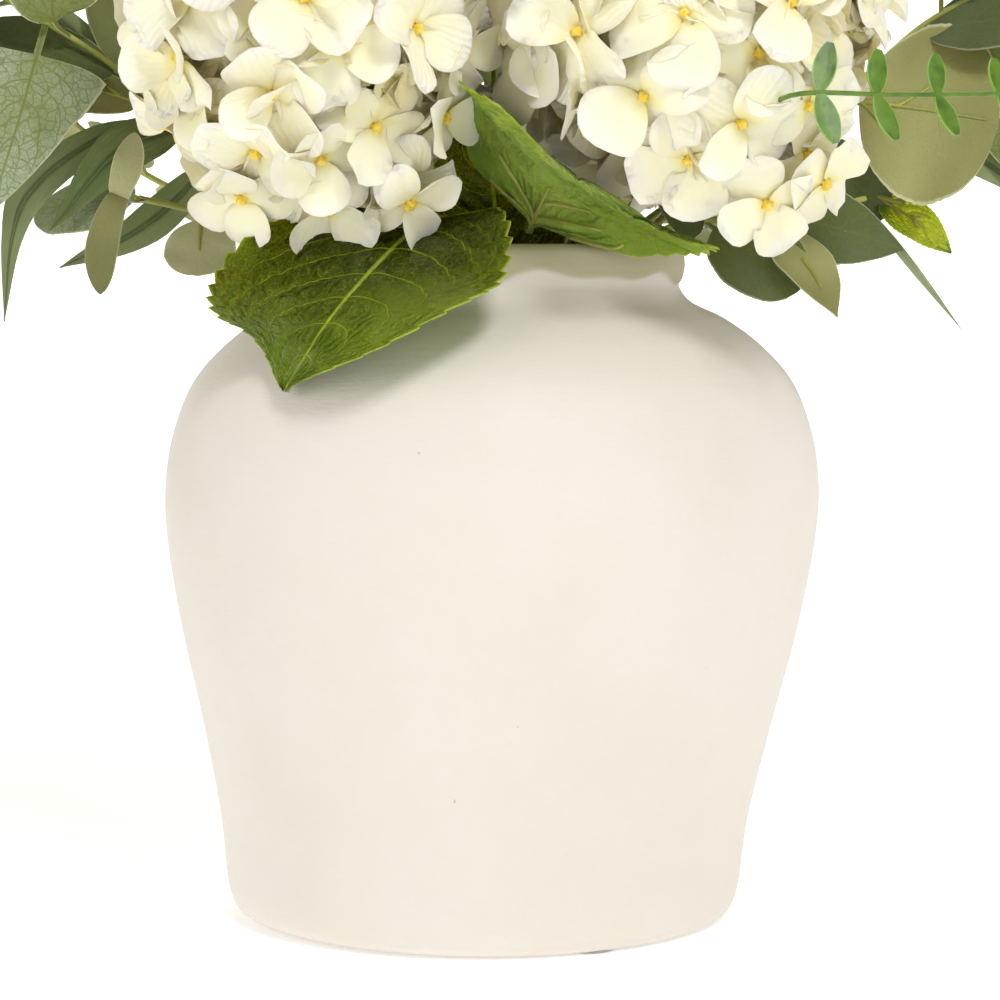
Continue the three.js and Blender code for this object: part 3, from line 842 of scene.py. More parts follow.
@dataclass(frozen=True)
class LongLeafCloth(Finish):
    """Long willow-like blades: grey-green cloth with dark strokes and lengthwise fibres."""

    grey: Colour = colour(138, 152, 106)
    green: Colour = colour(90, 110, 50)
    dark: Colour = colour(54, 70, 28)
    pale: Colour = colour(176, 188, 146)
    fibres: tuple[float, float] = (9, 70)
    strokes: tuple[float, float] = (3, 5)

    def dress(self, recipe: Recipe) -> bpy.types.Material:
        """Runs streaks along the blade, darker beside the midrib and paler at the edge.

        Args:
            recipe: The recipe that gets the nodes.

        Returns:
            The material.
        """
        tone, seed, _, under = recipe.marks()
        along, across = recipe.surface()
        off_centre = across.off_centre()
        (fibre_x, fibre_y), (stroke_x, stroke_y) = self.fibres, self.strokes
        fine = {"X": along * fibre_x, "Y": across * fibre_y, "Z": seed * 40.0}
        fibres = recipe.noise(1.0, 3, recipe.add("CombineXYZ", {}, fine))
        broad = {"X": along * stroke_x, "Y": across * stroke_y, "Z": seed * 23.0}
        strokes = recipe.noise(1.0, 2, recipe.add("CombineXYZ", {}, broad))
        face = recipe.blend((strokes * 0.5 + tone).rise(0.3, 1.0), self.green, self.grey)
        face = recipe.blend((off_centre.rise(0.45, 0.05) * fibres).rise(0.22, 0.5) * 0.75, face, self.dark)
        face = recipe.blend(fibres.rise(0.52, 0.75) * 0.4 + under * 0.25, face, self.pale)
        face = recipe.blend(off_centre.rise(0.02, 0.0) * 0.6 + tone.rise(0.9, 1.0) * 0.7, face, self.pale)
        return recipe.finish(
            Base_Color=face,
            Roughness=0.6,
            Specular_IOR_Level=0.35,
            Normal=recipe.bump(fibres, 0.3),
        )


@dataclass(frozen=True)
class MouldedStem(Finish):
    """Moulded plastic stems, ribs and flower stalks, yellow-green with olive patches."""

    light: Colour = colour(174, 178, 90)
    olive: Colour = colour(124, 130, 50)

    def dress(self, recipe: Recipe) -> bpy.types.Material:
        """Mixes the two greens along the stem.

        Args:
            recipe: The recipe that gets the nodes.

        Returns:
            The material.
        """
        patches = recipe.noise(45, 3).rise(0.35, 0.7)
        return recipe.finish(
            Base_Color=recipe.blend(patches, self.light, self.olive),
            Roughness=0.4 + recipe.noise(200, 2) * 0.15,
            Specular_IOR_Level=0.45,
            Normal=recipe.bump(recipe.noise(380, 2), 0.2),
        )


@dataclass(frozen=True)
class SprigPlastic(Finish):
    """Soft vivid green plastic with paler edges and a little mould dust."""

    green: Colour = colour(98, 136, 34)
    deep: Colour = colour(70, 104, 26)
    edge: Colour = colour(150, 192, 80)
    dust: Colour = colour(214, 232, 206)

    def dress(self, recipe: Recipe) -> bpy.types.Material:
        """Mixes by patches, lightens the rims and strews dust.

        Args:
            recipe: The recipe that gets the nodes.

        Returns:
            The material.
        """
        rim = recipe.surface()[1].off_centre().rise(0.86, 0.99)
        face = recipe.blend(recipe.noise(140, 2).rise(0.35, 0.7), self.green, self.deep)
        face = recipe.blend(rim * 0.8, face, self.edge)
        dust = recipe.noise(900, 3, rough=0.7).rise(0.62, 0.74) * recipe.noise(110, 2).rise(0.45, 0.65)
        return recipe.finish(
            Base_Color=recipe.blend(dust * 0.3, face, self.dust),
            Roughness=0.42 + dust * 0.3,
            Specular_IOR_Level=0.5,
            Normal=recipe.bump(recipe.noise(300, 2), 0.25),
        )


@dataclass(frozen=True)
class MatteCeramic(Finish):
    """Matte off-white glaze with a faint mottle, brushed streaks and rare dark specks, and painted olive
    shade on the band under the rim.
    """

    white: Colour = colour(234, 228, 221)
    warm: Colour = colour(231, 224, 215)
    speck: Colour = colour(140, 122, 96)
    # The band colour is painted shade from the flowers above, tinted olive as a painted reflection of the
    # leaves.
    band: Colour = colour(182, 175, 138)

    def dress(self, recipe: Recipe) -> bpy.types.Material:
        """Mixes the glaze's two whites, paints olive shade on the band under the rim, and strews specks in a
        few places.

        Args:
            recipe: The recipe that gets the nodes.

        Returns:
            The material.
        """
        mottle = recipe.noise(13, 4, rough=0.6).rise(0.3, 0.75)
        # Painted shade: above the wavy line under the rim the glaze takes the darker olive band colour.
        band = recipe.marks()[0]
        face = recipe.blend(band * 0.85, recipe.blend(mottle, self.white, self.warm), self.band)
        speck = recipe.noise(520, 1).rise(0.79, 0.82) * recipe.noise(30, 1).rise(0.56, 0.62)
        squashed = recipe.add("Mapping", {}, {"Vector": recipe.place(), "Scale": (1.0, 1.0, 7.0)})
        streak = recipe.noise(160, 3, squashed)
        grain = recipe.noise(1100, 2)
        return recipe.finish(
            Base_Color=recipe.blend(speck * 0.6, face, self.speck),
            Roughness=0.6 + mottle * 0.08,
            Specular_IOR_Level=0.32,
            Normal=recipe.bump(streak * 0.6 + grain * 0.4 - speck, 0.16),
        )


@dataclass(frozen=True)
class DryFoam(Finish):
    """Dry florist's foam: dull green with fine open pores."""

    green: Colour = colour(96, 120, 78)
    pore: Colour = colour(52, 70, 42)

    def dress(self, recipe: Recipe) -> bpy.types.Material:
        """Darkens the pores and sinks them.

        Args:
            recipe: The recipe that gets the nodes.

        Returns:
            The material.
        """
        pores = recipe.cells(900).rise(0.02, 0.3)
        return recipe.finish(
            Base_Color=recipe.blend(pores, self.pore, self.green),
            Roughness=0.95,
            Specular_IOR_Level=0.1,
            Normal=recipe.bump(pores, 0.4),
        )


@dataclass(frozen=True)
class ClearBumper(Finish):
    """Clear rubber bumper, greyish with cloudy patches."""

    grey: Colour = colour(205, 204, 200)
    cloud: Colour = colour(228, 226, 220)

    def dress(self, recipe: Recipe) -> bpy.types.Material:
        """Mixes a cloudy pattern.

        Args:
            recipe: The recipe that gets the nodes.

        Returns:
            The material.
        """
        clouds = recipe.noise(240, 3)
        return recipe.finish(
            Base_Color=recipe.blend(clouds, self.grey, self.cloud),
            Roughness=0.28,
            Transmission_Weight=0.35,
            IOR=1.45,
            Normal=recipe.bump(clouds, 0.08),
        )


@dataclass(frozen=True)
class StudioPaper(Finish):
    """The plain pale paper that the vase stands on."""

    white: Colour = colour(254, 254, 253)
    near: Colour = colour(158, 158, 157)

    def dress(self, recipe: Recipe) -> bpy.types.Material:
        """Gives the paper a barely visible grain, and more light of its own behind the vase.

        Args:
            recipe: The recipe that gets the nodes.

        Returns:
            The material.
        """
        _, depth, _ = recipe.split(recipe.place())
        return recipe.finish(
            Base_Color=recipe.blend(recipe.noise(40, 2) * 0.2, self.white, colour(250, 250, 248)),
            Roughness=0.9,
            Specular_IOR_Level=0.1,
            Emission_Color=recipe.blend(depth.rise(0.1, 1.6), self.near, self.white),
            Emission_Strength=0.85,
        )


PETAL = SilkPetal("petal_silk", "petal")
CENTRE = GoldenCentre("floret_gold", "petal")
BROAD_CLOTH = BroadLeafCloth("hydrangea_leaf_cloth", "hydrangea_leaf")
ROUND_CLOTH = RoundLeafCloth("eucalyptus_cloth", "eucalyptus_leaf")
LONG_CLOTH = LongLeafCloth("long_leaf_cloth", "long_leaf")
STEM = MouldedStem("moulded_stem", "plastic_sprig")
STALK = MouldedStem("floret_stalk", "petal", colour(240, 224, 136), colour(222, 200, 98))
SPRIG_GREEN = SprigPlastic("sprig_plastic", "plastic_sprig")
CERAMIC = MatteCeramic("matte_ceramic", "ceramic")
FOAM = DryFoam("dry_foam", "foam")
BUMPER = ClearBumper("clear_bumper", "pad")
PAPER = StudioPaper("studio_paper", "ceramic")


# ---- pieces


def new_object(name: str, patch: Patch, finish: Finish) -> bpy.types.Object:
    """Turns a patch into an object at the origin, its seams and poles closed.

    Args:
        name: The object's name.
        patch: Its surface in millimetres.
        finish: Its finish.

    Returns:
        The object, linked to the scene.
    """
    mesh = bpy.data.meshes.new(name)
    corners = patch.quads.reshape(-1)
    mesh.vertices.add(len(patch.vertices))
    mesh.vertices.foreach_set("co", (patch.vertices * MM).reshape(-1))
    mesh.loops.add(len(corners))
    mesh.loops.foreach_set("vertex_index", corners.astype(np.int32))
    mesh.polygons.add(len(patch.quads))
    mesh.polygons.foreach_set("loop_start", np.arange(0, len(corners), 4, dtype=np.int32))
    mesh.uv_layers.new(name="UVMap").uv.foreach_set("vector", patch.uv[corners].reshape(-1))
    marks = mesh.attributes.new("marks", "FLOAT_COLOR", "POINT")
    marks.data.foreach_set("color", patch.marks.reshape(-1))
    mesh.update(calc_edges=True)
    weld = bmesh.new()
    weld.from_mesh(mesh)
    bmesh.ops.remove_doubles(weld, verts=weld.verts, dist=WELD_DISTANCE)
    weld.to_mesh(mesh)
    weld.free()
    mesh.shade_smooth()
    mesh.set_sharp_from_angle(angle=math.radians(SHARP_ANGLE))
    mesh.materials.append(finish.material())
    piece = bpy.data.objects.new(name, mesh)
    bpy.context.scene.collection.objects.link(piece)
    return piece


def add_piece(name: str, patches: Sequence[Patch], finish: Finish, *nodes: str) -> bpy.types.Object:
    """Makes a piece of the object that stands for nodes of the model.

    Args:
        name: The piece's name.
        patches: Its surfaces.
        finish: Its finish.
        nodes: The nodes that it replaces.

    Returns:
        The finished piece.
    """
    piece = new_object(name, joined(patches), finish)
    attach(piece, BODY)
    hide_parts(*nodes)
    log.info("%s: %d faces", name, len(piece.data.polygons))
    return piece


# ---- leaves


class Outline(Enum):
    """The kinds of leaf by their outline."""

    BROAD = "broad"
    ROUND = "round"
    OVATE = "ovate"
    SPOON = "spoon"
    LONG = "long"
    SMALL = "small"

    def width(self, along: np.ndarray, seed: float, bare: float) -> np.ndarray:
        """Gives the half width along a leaf, as a share of its greatest.

        A broad leaf is a power of a sine with saw teeth, a round one a circle on a stalk, an
        ovate one a quarter cosine with a blunt base, a spoon a sine that peaks late, a long
        one a sine that peaks early, and a small one a blunt sine. Cloth leaves fray by a
        hundredth of their width.

        Args:
            along: Places from 0 at the base to 1 at the tip.
            seed: A number that makes each leaf's edge differ.
            bare: The share of the leaf that is its bare stalk.

        Returns:
            The half width at each place.
        """
        fray = 0.012 * np.sin(173 * along + seed) * np.sin(61 * along + 2 * seed)
        if self is Outline.BROAD:
            share = np.clip((along - 0.1) / 0.9, 0, 1)
            oval = np.sin(np.pi * (0.17 + 0.83 * share)) ** 0.85
            saw = (along * 17 + seed) % 1
            teeth = (0.03 - 0.056 * saw) * ease(0.1, 0.2, along)
            return np.maximum(oval * (1 + teeth) * ease(0.03, 0.13, along), 0.022)
        if self is Outline.ROUND:
            share = np.clip((along - bare) / (1 - bare), 0, 1)
            disc = np.sqrt(np.clip(1 - (2 * share - 1) ** 2, 0, 1)) * (1 + 0.1 * (share - 0.5))
            return np.maximum(disc * (1 + fray), 0.045)
        if self is Outline.OVATE:
            share = np.clip((along - bare) / (1 - bare), 0, 1)
            taper = np.cos(np.pi / 2 * share) ** 0.85 * np.sqrt(np.clip(share / 0.14, 0, 1))
            return np.maximum(taper * (1 + fray), 0.045)
        if self is Outline.SPOON:
            return np.maximum(np.sin(np.pi * along**1.7) ** 0.6 * (1 + fray), 0.06)
        if self is Outline.LONG:
            share = np.clip((along - bare / 2) / (1 - bare / 2), 0, 1)
            return np.maximum(np.sin(np.pi * share**0.75) * (1 + fray), 0.03)
        return np.maximum(np.sin(np.pi * (0.04 + 0.9 * along)) ** 0.7, 0.12)


@dataclass
class Blade:
    """One leaf blade along a curved spine.

    Attributes:
        spine: The points that its midrib runs through.
        halves: Its greatest half width on either side of the midrib.
        face: Where its face looks at the base.
        outline: Its kind.
        tip_face: Where its face looks at the tip, if that differs.
        cup: How far its edges rise towards the face.
        wave: How deep its edges ruffle.
        skew: How far one edge runs ahead and the other behind.
        under: Whether its underside is the side that looks along face.
        seed: A number that makes it differ from its neighbours.
        lobe: How far the base bulges back beside the stalk.
        curl: How far the base rises beside the stalk.
        bare: Share of the spine that is bare stalk.
        tone: From 0 for dark cloth to 1 for pale; the top broad leaf's low tone is painted shade, and near 1
            a round leaf's underside gets painted light.
        crease: How deep a broad leaf's side veins lie between its swells.
        groove: How deep its midrib lies.
        groove_width: How far the midrib's groove reaches aside.
    """

    spine: Points
    halves: tuple[float, float]
    face: Sequence[float]
    outline: Outline
    tip_face: Sequence[float] | None = None
    cup: float = 0.0
    wave: float = 0.0
    skew: float = 0.0
    under: bool = False
    seed: float = 0.0
    lobe: float = 0.0
    curl: float = 0.0
    bare: float = 0.13
    tone: float = 0.6

    crease: float = 1.6
    groove: float = 0.9
    groove_width: float = 2.2

    def bearings(self, along: np.ndarray) -> tuple[np.ndarray, np.ndarray, np.ndarray, np.ndarray]:
        """Follows the midrib.

        Args:
            along: Places along it.

        Returns:
            Its points, and the directions along it, out of the face and aside.
        """
        route = Route(self.spine)
        ways = route.along(along)
        start = unit(np.array(self.face, dtype=float))
        end = start if self.tip_face is None else unit(np.array(self.tip_face, dtype=float))
        facing = start + (end - start) * along[:, None]
        normal = unit(facing - (facing * ways).sum(axis=1, keepdims=True) * ways)
        return route.at(along), ways, normal, np.cross(ways, normal)

    def at(self, along: np.ndarray, across: np.ndarray) -> np.ndarray:
        """Gives the blade's points.

        A point lies aside of the midrib by its share of the half width there. It rises by the
        cup times the 1.6th power of that way, by a ruffle, a sine that grows to the edge, and on
        a broad leaf by a low swell between the creased veins. Beside the stalk the base bulges
        back and rises.

        Args:
            along: Places along the midrib, one axis.
            across: Places from -1 to 1 across it, shape (len(along), columns).

        Returns:
            Points of shape (len(along), columns, 3).
        """
        middle, ways, normal, side = self.bearings(along)
        width = self.outline.width(along, self.seed, self.bare)[:, None]
        reach = across * width * np.where(across < 0, self.halves[0], self.halves[1])
        off = np.abs(across)
        ruffle = np.sin(15 * along[:, None] + 1.4 * across + self.seed) * off**2 * width
        rise = self.cup * (off * width) ** 1.6 + self.wave * ruffle
        if self.outline is Outline.BROAD:
            order = BROAD_VEINS.order(along[:, None], off)
            swell = np.abs(np.sin(np.pi * (order - 0.5))) ** 0.6 - 1
            rise += self.crease * swell * ease(0.02, 0.3, off) * ease(1.02, 0.6, off)
            rise -= self.groove * np.exp(-((reach / self.groove_width) ** 2))
        base = off * width * ease(0.5, 0.05, along)[:, None]
        back = self.lobe * base
        rise += self.curl * base * off
        return (
            middle[:, None, :]
            + side[:, None, :] * reach[..., None]
            + ways[:, None, :] * (reach * self.skew - back)[..., None]
            + normal[:, None, :] * rise[..., None]
        )

    def sheet(self, rows: int, columns: int, thickness: float) -> Patch:
        """Makes the blade as a closed sheet.

        Args:
            rows: Rows of points from base to tip.
            columns: Columns of points from edge to edge.
            thickness: Thickness of the cloth in millimetres.

        Returns:
            The sheet, with its tone, seed and half width as marks.
        """
        along = np.linspace(0, 1, rows)
        lines = np.sin(np.linspace(-1, 1, columns) * np.pi / 2)
        across = np.broadcast_to(lines, (rows, columns))
        points = self.at(along, across)
        width = self.outline.width(along, self.seed, self.bare)[:, None] * np.where(across < 0, *self.halves)
        marks = np.zeros((rows, columns, 4))
        marks[..., 0] = self.tone
        marks[..., 1] = (self.seed * 0.273) % 1
        marks[..., 2] = width / LEAF_MARK
        uv = np.stack([np.broadcast_to(along[:, None], across.shape), across / 2 + 0.5], axis=-1)
        patch = sheets(points[None, :, ::-1], thickness, uv[None, :, ::-1], marks[None, :, ::-1])
        if self.under:
            patch.marks[:, 3] = 1 - patch.marks[:, 3]
        return patch

    def ribs(self, lines: Points, radius: float, lift: float) -> Patch:
        """Makes moulded ribs on the blade's underside.

        Args:
            lines: Each rib's start and end, as place along and place across.
            radius: The rib's radius at its start.
            lift: How far the rib's middle stands off the sheet.

        Returns:
            The ribs as rods that thin to their ends.
        """
        steps = 9
        share = np.linspace(0, 1, steps)
        away = lift if self.under else -lift
        paths = []
        for start_along, start_across, end_along, end_across in lines:
            along = start_along + (end_along - start_along) * share
            across = (start_across + (end_across - start_across) * share)[:, None]
            normal = self.bearings(along)[2]
            paths.append(self.at(along, across)[:, 0] + normal * away)
        radii = np.broadcast_to(radius * (1 - 0.55 * share), (len(paths), steps))
        return rods(np.array(paths), radii, 6)


# ---- vase


@dataclass
class Vase:
    """The ginger-jar vase, its foam and its bumper pads.

    Attributes:
        stand: Height of the foot above the surface, on the pads.
        underside: The raised middle of the base, as radius and height above the foot.
        foot: The rounded foot.
        body: The body up to the neck.
        rim: The rolled rim.
        inside: The inner wall down to the floor.
        aside: How far the shoulder stands right of the axis.
        lean: How far the foot stands left of the shoulder.
        tilt: How far the foot dips on its right side.
        band: Mean height of the lower edge of the band round the neck.
        band_soft: Half the height over which that edge steps in.
        band_step: How far it steps in.
        columns: Points round the vase.
        steps: Rows for each span of the profile.
    """

    stand: float = 0.55
    underside: Points = ((0, 2.5), (40, 2.5), (66, 2.5), (70, 1.2))
    foot: Points = ((73, 0), (86, 0), (90.6, 0.7), (93.8, 3.2))
    body: Points = (
        (96, 8.5), (99.4, 36), (106.5, 70.5), (114.8, 104.5), (120.9, 138), (122.3, 158),
        (119.8, 178.5), (111.8, 199.5), (98.8, 214), (86, 223.2), (74.8, 229.4), (70.9, 235), (71.2, 239),
    )
    rim: Points = ((71.9, 243), (71, 248.5), (68.2, 250.6), (65.6, 249.5), (64.6, 245), (64.9, 234))
    inside: Points = (
        (72, 225), (92, 209), (107, 192), (115.6, 160), (112.5, 122), (102, 70), (92.5, 24), (80, 9),
        (60, 7), (30, 7), (0, 7),
    )
    aside: float = 0.7
    lean: float = 3.6
    tilt: float = 0.5
    band: float = 238.6
    band_soft: float = 1.1
    band_step: float = 1.5
    columns: int = 192
    steps: int = 6

    def profile(self) -> tuple[np.ndarray, np.ndarray, np.ndarray]:
        """Follows the outline from the middle of the underside to that of the floor inside.

        Returns:
            Each row's radius and height, and whether it is on the outside.
        """
        points = [*self.underside, *self.foot, *self.body, *self.rim, *self.inside]
        outer = len(points) - len(self.inside) - 3
        route = Route([(radius, height, 0) for radius, height in points])
        places = np.linspace(0, 1, route.spans * self.steps + 1)
        rows = route.at(places)
        return np.maximum(rows[:, 0], 0), np.maximum(rows[:, 1], 0), places * route.spans < outer

    def shell(self) -> Patch:
        """Makes the ceramic shell.

        The profile is turned round the axis. Its radius swells by a third of a millimetre in
        slow waves, and below a wavy line under the rim it steps in, as where a hand-applied
        band ends. The foot stands a little left of the shoulder and dips on its right.

        Returns:
            The closed shell, with the band as its first mark, which the ceramic finish darkens as painted
            shade.
        """
        radius, height, outer = (row[:, None] for row in self.profile())
        turn = np.linspace(0, FULL_TURN, self.columns + 1)[None, :]
        body = ease(4, 60, height) * ease(250, 200, height)
        swell = rippled(turn, 0, (0.32, 2, 0.4), (0.2, 3, height / 31), (0.12, 5, -height / 17))
        band = rippled(turn, self.band, (1.5, 9, 0.6), (1.1, 14, 2.1), (0.7, 4, 0))
        banded = ease(-self.band_soft, self.band_soft, height - band)
        neck = ease(222, 231, height) * (1 - banded)
        lumps = rippled(turn, 0, (0.25, 11, height / 5)) * ease(226, 236, height) * ease(252, 246, height)
        change = np.where(outer, swell * body - self.band_step * neck + lumps, 0)
        wide = np.where(radius > 1, radius + change, radius)
        level = height + self.stand - self.tilt * np.cos(turn) * ease(150, 0, height)
        points = turned(wide, level, turn)
        points[..., 0] += self.aside - self.lean * ease(165, 0, height)
        return skin(points, banded)

    def pad(self, node: str) -> Patch:
        """Makes one bumper pad, a low disc with a rounded edge.

        Args:
            node: The node whose place it takes.

        Returns:
            The closed pad.
        """
        low, high = (np.array(corner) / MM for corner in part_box(node))
        rows = np.array([(0, 0), (0.5, 0), (0.95, 0), (1, 0.25), (1, 0.7), (0.94, 1), (0.5, 1), (0, 1)])
        radius, height = (high - low)[0] / 2 * rows[:, :1], high[2] * rows[:, 1:]
        middle = (low + high) / 2 * (1, 1, 0)
        return skin(turned(radius, height, np.linspace(0, FULL_TURN, 33)[None, :]) + middle)

    def build(self) -> None:
        """Makes the shell and the pads, and dresses the foam, which keeps its solid."""
        add_piece("vase_shell", [self.shell()], CERAMIC, "vase")
        for number in (1, 2, 3):
            node = f"bumper_pad_{number}"
            add_piece(f"clear_pad_{number}", [self.pad(node)], BUMPER, node)
        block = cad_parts["foam_block"]
        block.data.materials.clear()
        block.data.materials.append(FOAM.material())


# ---- flower heads


@dataclass(frozen=True)
class PetalShape:
    """The least and the most that each petal's numbers may be.

    Attributes:
        long: Length, as a share of its floret's.
        broad: Half breadth, as a share of its length.
        slope: Angle at the base.
        bend: Angle by which it bends from base to tip.
        cup: Angle by which it bends from middle line to edge.
        ripple: Depth of the edge's ripples.
        ripples: How many go round.
        fold: Depth of the fold along its middle.
        twist: How far one side rises and the other falls.
        notch: Depth of the dents in its outline, as a share of its length.
        dents: How many go round.
        phase: Where ripples and dents start.
    """

    long: tuple[float, float] = (0.92, 1.08)
    broad: tuple[float, float] = (0.5, 0.6)
    slope: tuple[float, float] = (0.0, 0.8)
    bend: tuple[float, float] = (-1.2, 0.7)
    cup: tuple[float, float] = (0.1, 1.1)
    ripple: tuple[float, float] = (0.4, 1.9)
    ripples: tuple[float, float] = (2.5, 5.5)
    fold: tuple[float, float] = (-0.5, 1.2)
    twist: tuple[float, float] = (-0.35, 0.35)
    notch: tuple[float, float] = (0.0, 0.06)
    dents: tuple[float, float] = (2, 6)
    phase: tuple[float, float] = (0, 6.3)


@dataclass
class Head:
    """One flower head on its stem.

    Attributes:
        name: The name that its nodes end in.
        at: The middle of the head.
        size: Its radii.
        hole: Where its stem stands in the foam.
        seed: The seed of its random draws.
        florets: How many florets the spiral holds.
        placed: Florets listed one by one: place from the middle, diameter, spin and lean.
        clear: Spheres that the spiral leaves free: place from the middle and radius.
        outermost: Depth of the outermost florets, as a share of the head's radius.
        deeper: How much deeper the next florets sit.
        scatter: How far each is off its depth.
        lengths: The shortest and longest petals of the spiral's florets.
        leaning: How far they lean out of their outward direction.
        apart: How near to a listed one a floret of the spiral may be.
        petal_share: Length of a listed floret's petals, as a share of its diameter.
        shape: The ranges of the petals' shapes.
        cloth: Thickness of a petal in its middle.
        rows: Points along a petal.
        columns: Points across it.
        petals: Petals of a floret.
        stem_radius: Radius of the stem.
        leaf_place: Where on the stem the broad leaf's stalk starts, as a share of the way.
    """

    name: str
    at: tuple[float, float, float]
    size: tuple[float, float, float]
    hole: tuple[float, float]
    seed: int
    florets: int
    placed: Points = ()
    clear: Points = ()

    outermost: float = 0.84
    deeper: float = 0.1
    scatter: float = 0.03
    lengths: tuple[float, float] = (19, 24)
    leaning: float = 0.3
    apart: float = 12
    petal_share: float = 0.48
    shape: PetalShape = PetalShape()
    cloth: float = 0.36
    rows: int = 7
    columns: int = 6
    petals: int = 4
    stem_radius: float = 2.6
    leaf_place: float = 0.58

    def places(self, rng: np.random.Generator) -> tuple[np.ndarray, ...]:
        """Chooses where the florets sit.

        The spiral turns by the golden angle and spreads evenly over the head. Its florets sit
        at three depths by turns, and those too near a listed floret are left out.

        Args:
            rng: The random draws.

        Returns:
            Centres, outward directions, petal lengths, spins and tones of all the florets.
        """
        size = np.array(self.size)
        order = np.arange(self.florets)
        height = 1 - 2 * (order + 0.5) / self.florets
        angle = order * np.pi * (3 - np.sqrt(5)) + self.seed
        ring = np.sqrt(1 - height**2)
        outward = np.stack([ring * np.cos(angle), ring * np.sin(angle), height], axis=1)
        depth = self.outermost - self.deeper * (order % 3)
        depth = depth + rng.uniform(-self.scatter, self.scatter, self.florets)
        centres = outward * size * depth[:, None]
        length = rng.uniform(*self.lengths, self.florets)
        lean = outward + rng.normal(0, self.leaning, (self.florets, 3))
        spin = rng.uniform(0, FULL_TURN, self.florets)
        if len(self.placed):
            own = np.array(self.placed, dtype=float)
            gap = np.linalg.norm(centres[:, None] - own[None, :, :3], axis=2).min(axis=1)
            kept = gap > self.apart
            for x, y, z, radius in self.clear:
                kept &= np.linalg.norm(centres - (x, y, z), axis=1) > radius
            centres = np.concatenate([own[:, :3], centres[kept]])
            length = np.concatenate([own[:, 3] * self.petal_share, length[kept]])
            spin = np.concatenate([np.radians(own[:, 4]), spin[kept]])
            lean = np.concatenate([unit(own[:, :3] / size) + own[:, 5:8], lean[kept]])
        tone = rng.uniform(0, 1, len(centres))
        return centres + np.array(self.at), unit(lean), length, spin, tone

    def petal_grids(
        self, centre: np.ndarray, out: np.ndarray, length: np.ndarray, spin: np.ndarray,
        tone: np.ndarray, rng: np.random.Generator,
    ) -> Patch:
        """Makes all the petals of the head as closed sheets.

        Each petal is a disc, drawn by lines and columns that bulge to its round edge, where the
        cloth thins to nothing. It runs outward along an arc that starts at its own slope and
        bends by its own amount, and across it is a shallow arc too, so that it is cupped. The
        florets that lie deeper in the head are less open. A petal is broader past the middle,
        and its edge ripples with the angle round the disc.

        Args:
            centre: Centres of the florets, shape (n, 3).
            out: Their outward directions.
            length: Their petals' length.
            spin: Their turn about the outward direction.
            tone: Their tone.
            rng: The random draws.

        Returns:
            The petals. Their marks are the way out along the petal, the floret's tone, and how
            deep in the head the point lies, which the petal finish turns into painted warm shade.
        """
        count = (len(centre), self.petals, 1, 1)

        def draw(between: tuple[float, float]) -> np.ndarray:
            """Draws one number per petal."""
            return rng.uniform(*between, count)

        side, up = beside(out)
        turn = spin[:, None] + np.arange(self.petals) * 2 * np.pi / self.petals
        turn = turn + rng.normal(0, 0.1, turn.shape)
        radial = np.cos(turn)[..., None] * side[:, None] + np.sin(turn)[..., None] * up[:, None]
        tangent = np.cross(out[:, None], radial)

        line = np.linspace(-1, 1, self.rows)[:, None]
        column = np.linspace(-1, 1, self.columns)[None, :]
        forth = line * np.sqrt(1 - column**2 / 2)
        across = column * np.sqrt(1 - line**2 / 2)
        edge = forth**2 + across**2
        angle = np.arctan2(across, forth)
        outward = (1 + forth) / 2
        shape = self.shape
        long = length[:, None, None, None] * draw(shape.long)
        broad = long * draw(shape.broad) * (0.72 + 0.45 * outward)
        depth = np.linalg.norm((centre - np.array(self.at)) / np.array(self.size), axis=1)
        slope = draw(shape.slope) - 0.3 * ease(0.72, 0.8, depth)[:, None, None, None]
        bend = draw(shape.bend)
        bend = np.where(np.abs(bend) < 0.1, 0.1, bend)
        cup = draw(shape.cup)
        ahead = long * (np.sin(slope + bend * outward) - np.sin(slope)) / bend
        rise = long * (np.cos(slope) - np.cos(slope + bend * outward)) / bend
        aside = broad * np.sin(cup * across) / cup
        lift = broad * (1 - np.cos(cup * across)) / cup
        ripple = draw(shape.ripple) * np.sin(draw(shape.ripples) * angle + draw(shape.phase))
        fold = draw(shape.fold) * np.exp(-((across / 0.3) ** 2)) * outward * (1 - outward) * 3
        twist = draw(shape.twist) * aside * outward
        lift = lift + ripple * edge**1.5 * outward + twist - fold
        tilt = slope + bend * outward
        notch = 1 + draw(shape.notch) * np.sin(draw(shape.dents) * angle + draw(shape.phase)) * edge
        ahead = ahead * notch - lift * np.sin(tilt) + 0.8
        over_and_under = np.array([0.35, -0.35] * 2)[None, :, None, None]
        level = rise + lift * np.cos(tilt) + over_and_under
        points = (
            centre[:, None, None, None]
            + radial[:, :, None, None] * ahead[..., None]
            + tangent[:, :, None, None] * aside[..., None]
            + out[:, None, None, None] * level[..., None]
        )
        grids = points.shape[:-1]
        marks = np.zeros((*grids, 4))
        marks[..., 0] = outward
        marks[..., 1] = tone[:, None, None, None]
        reach = np.linalg.norm((points - np.array(self.at)) / np.array(self.size), axis=-1)
        # How deep in the head the point lies: the petal finish paints warm shade from it.
        marks[..., 2] = ease(1.03, 0.64, reach)
        uv = np.zeros((*grids, 2))
        uv[..., 0] = outward
        uv[..., 1] = across / 2 + 0.5
        flat = (-1, self.rows, self.columns)
        thick = np.broadcast_to(self.cloth * np.sqrt(np.maximum(1 - edge, 0)), grids).reshape(flat)
        return sheets(points.reshape(*flat, 3), thick, uv.reshape(*flat, 2), marks.reshape(*flat, 4))

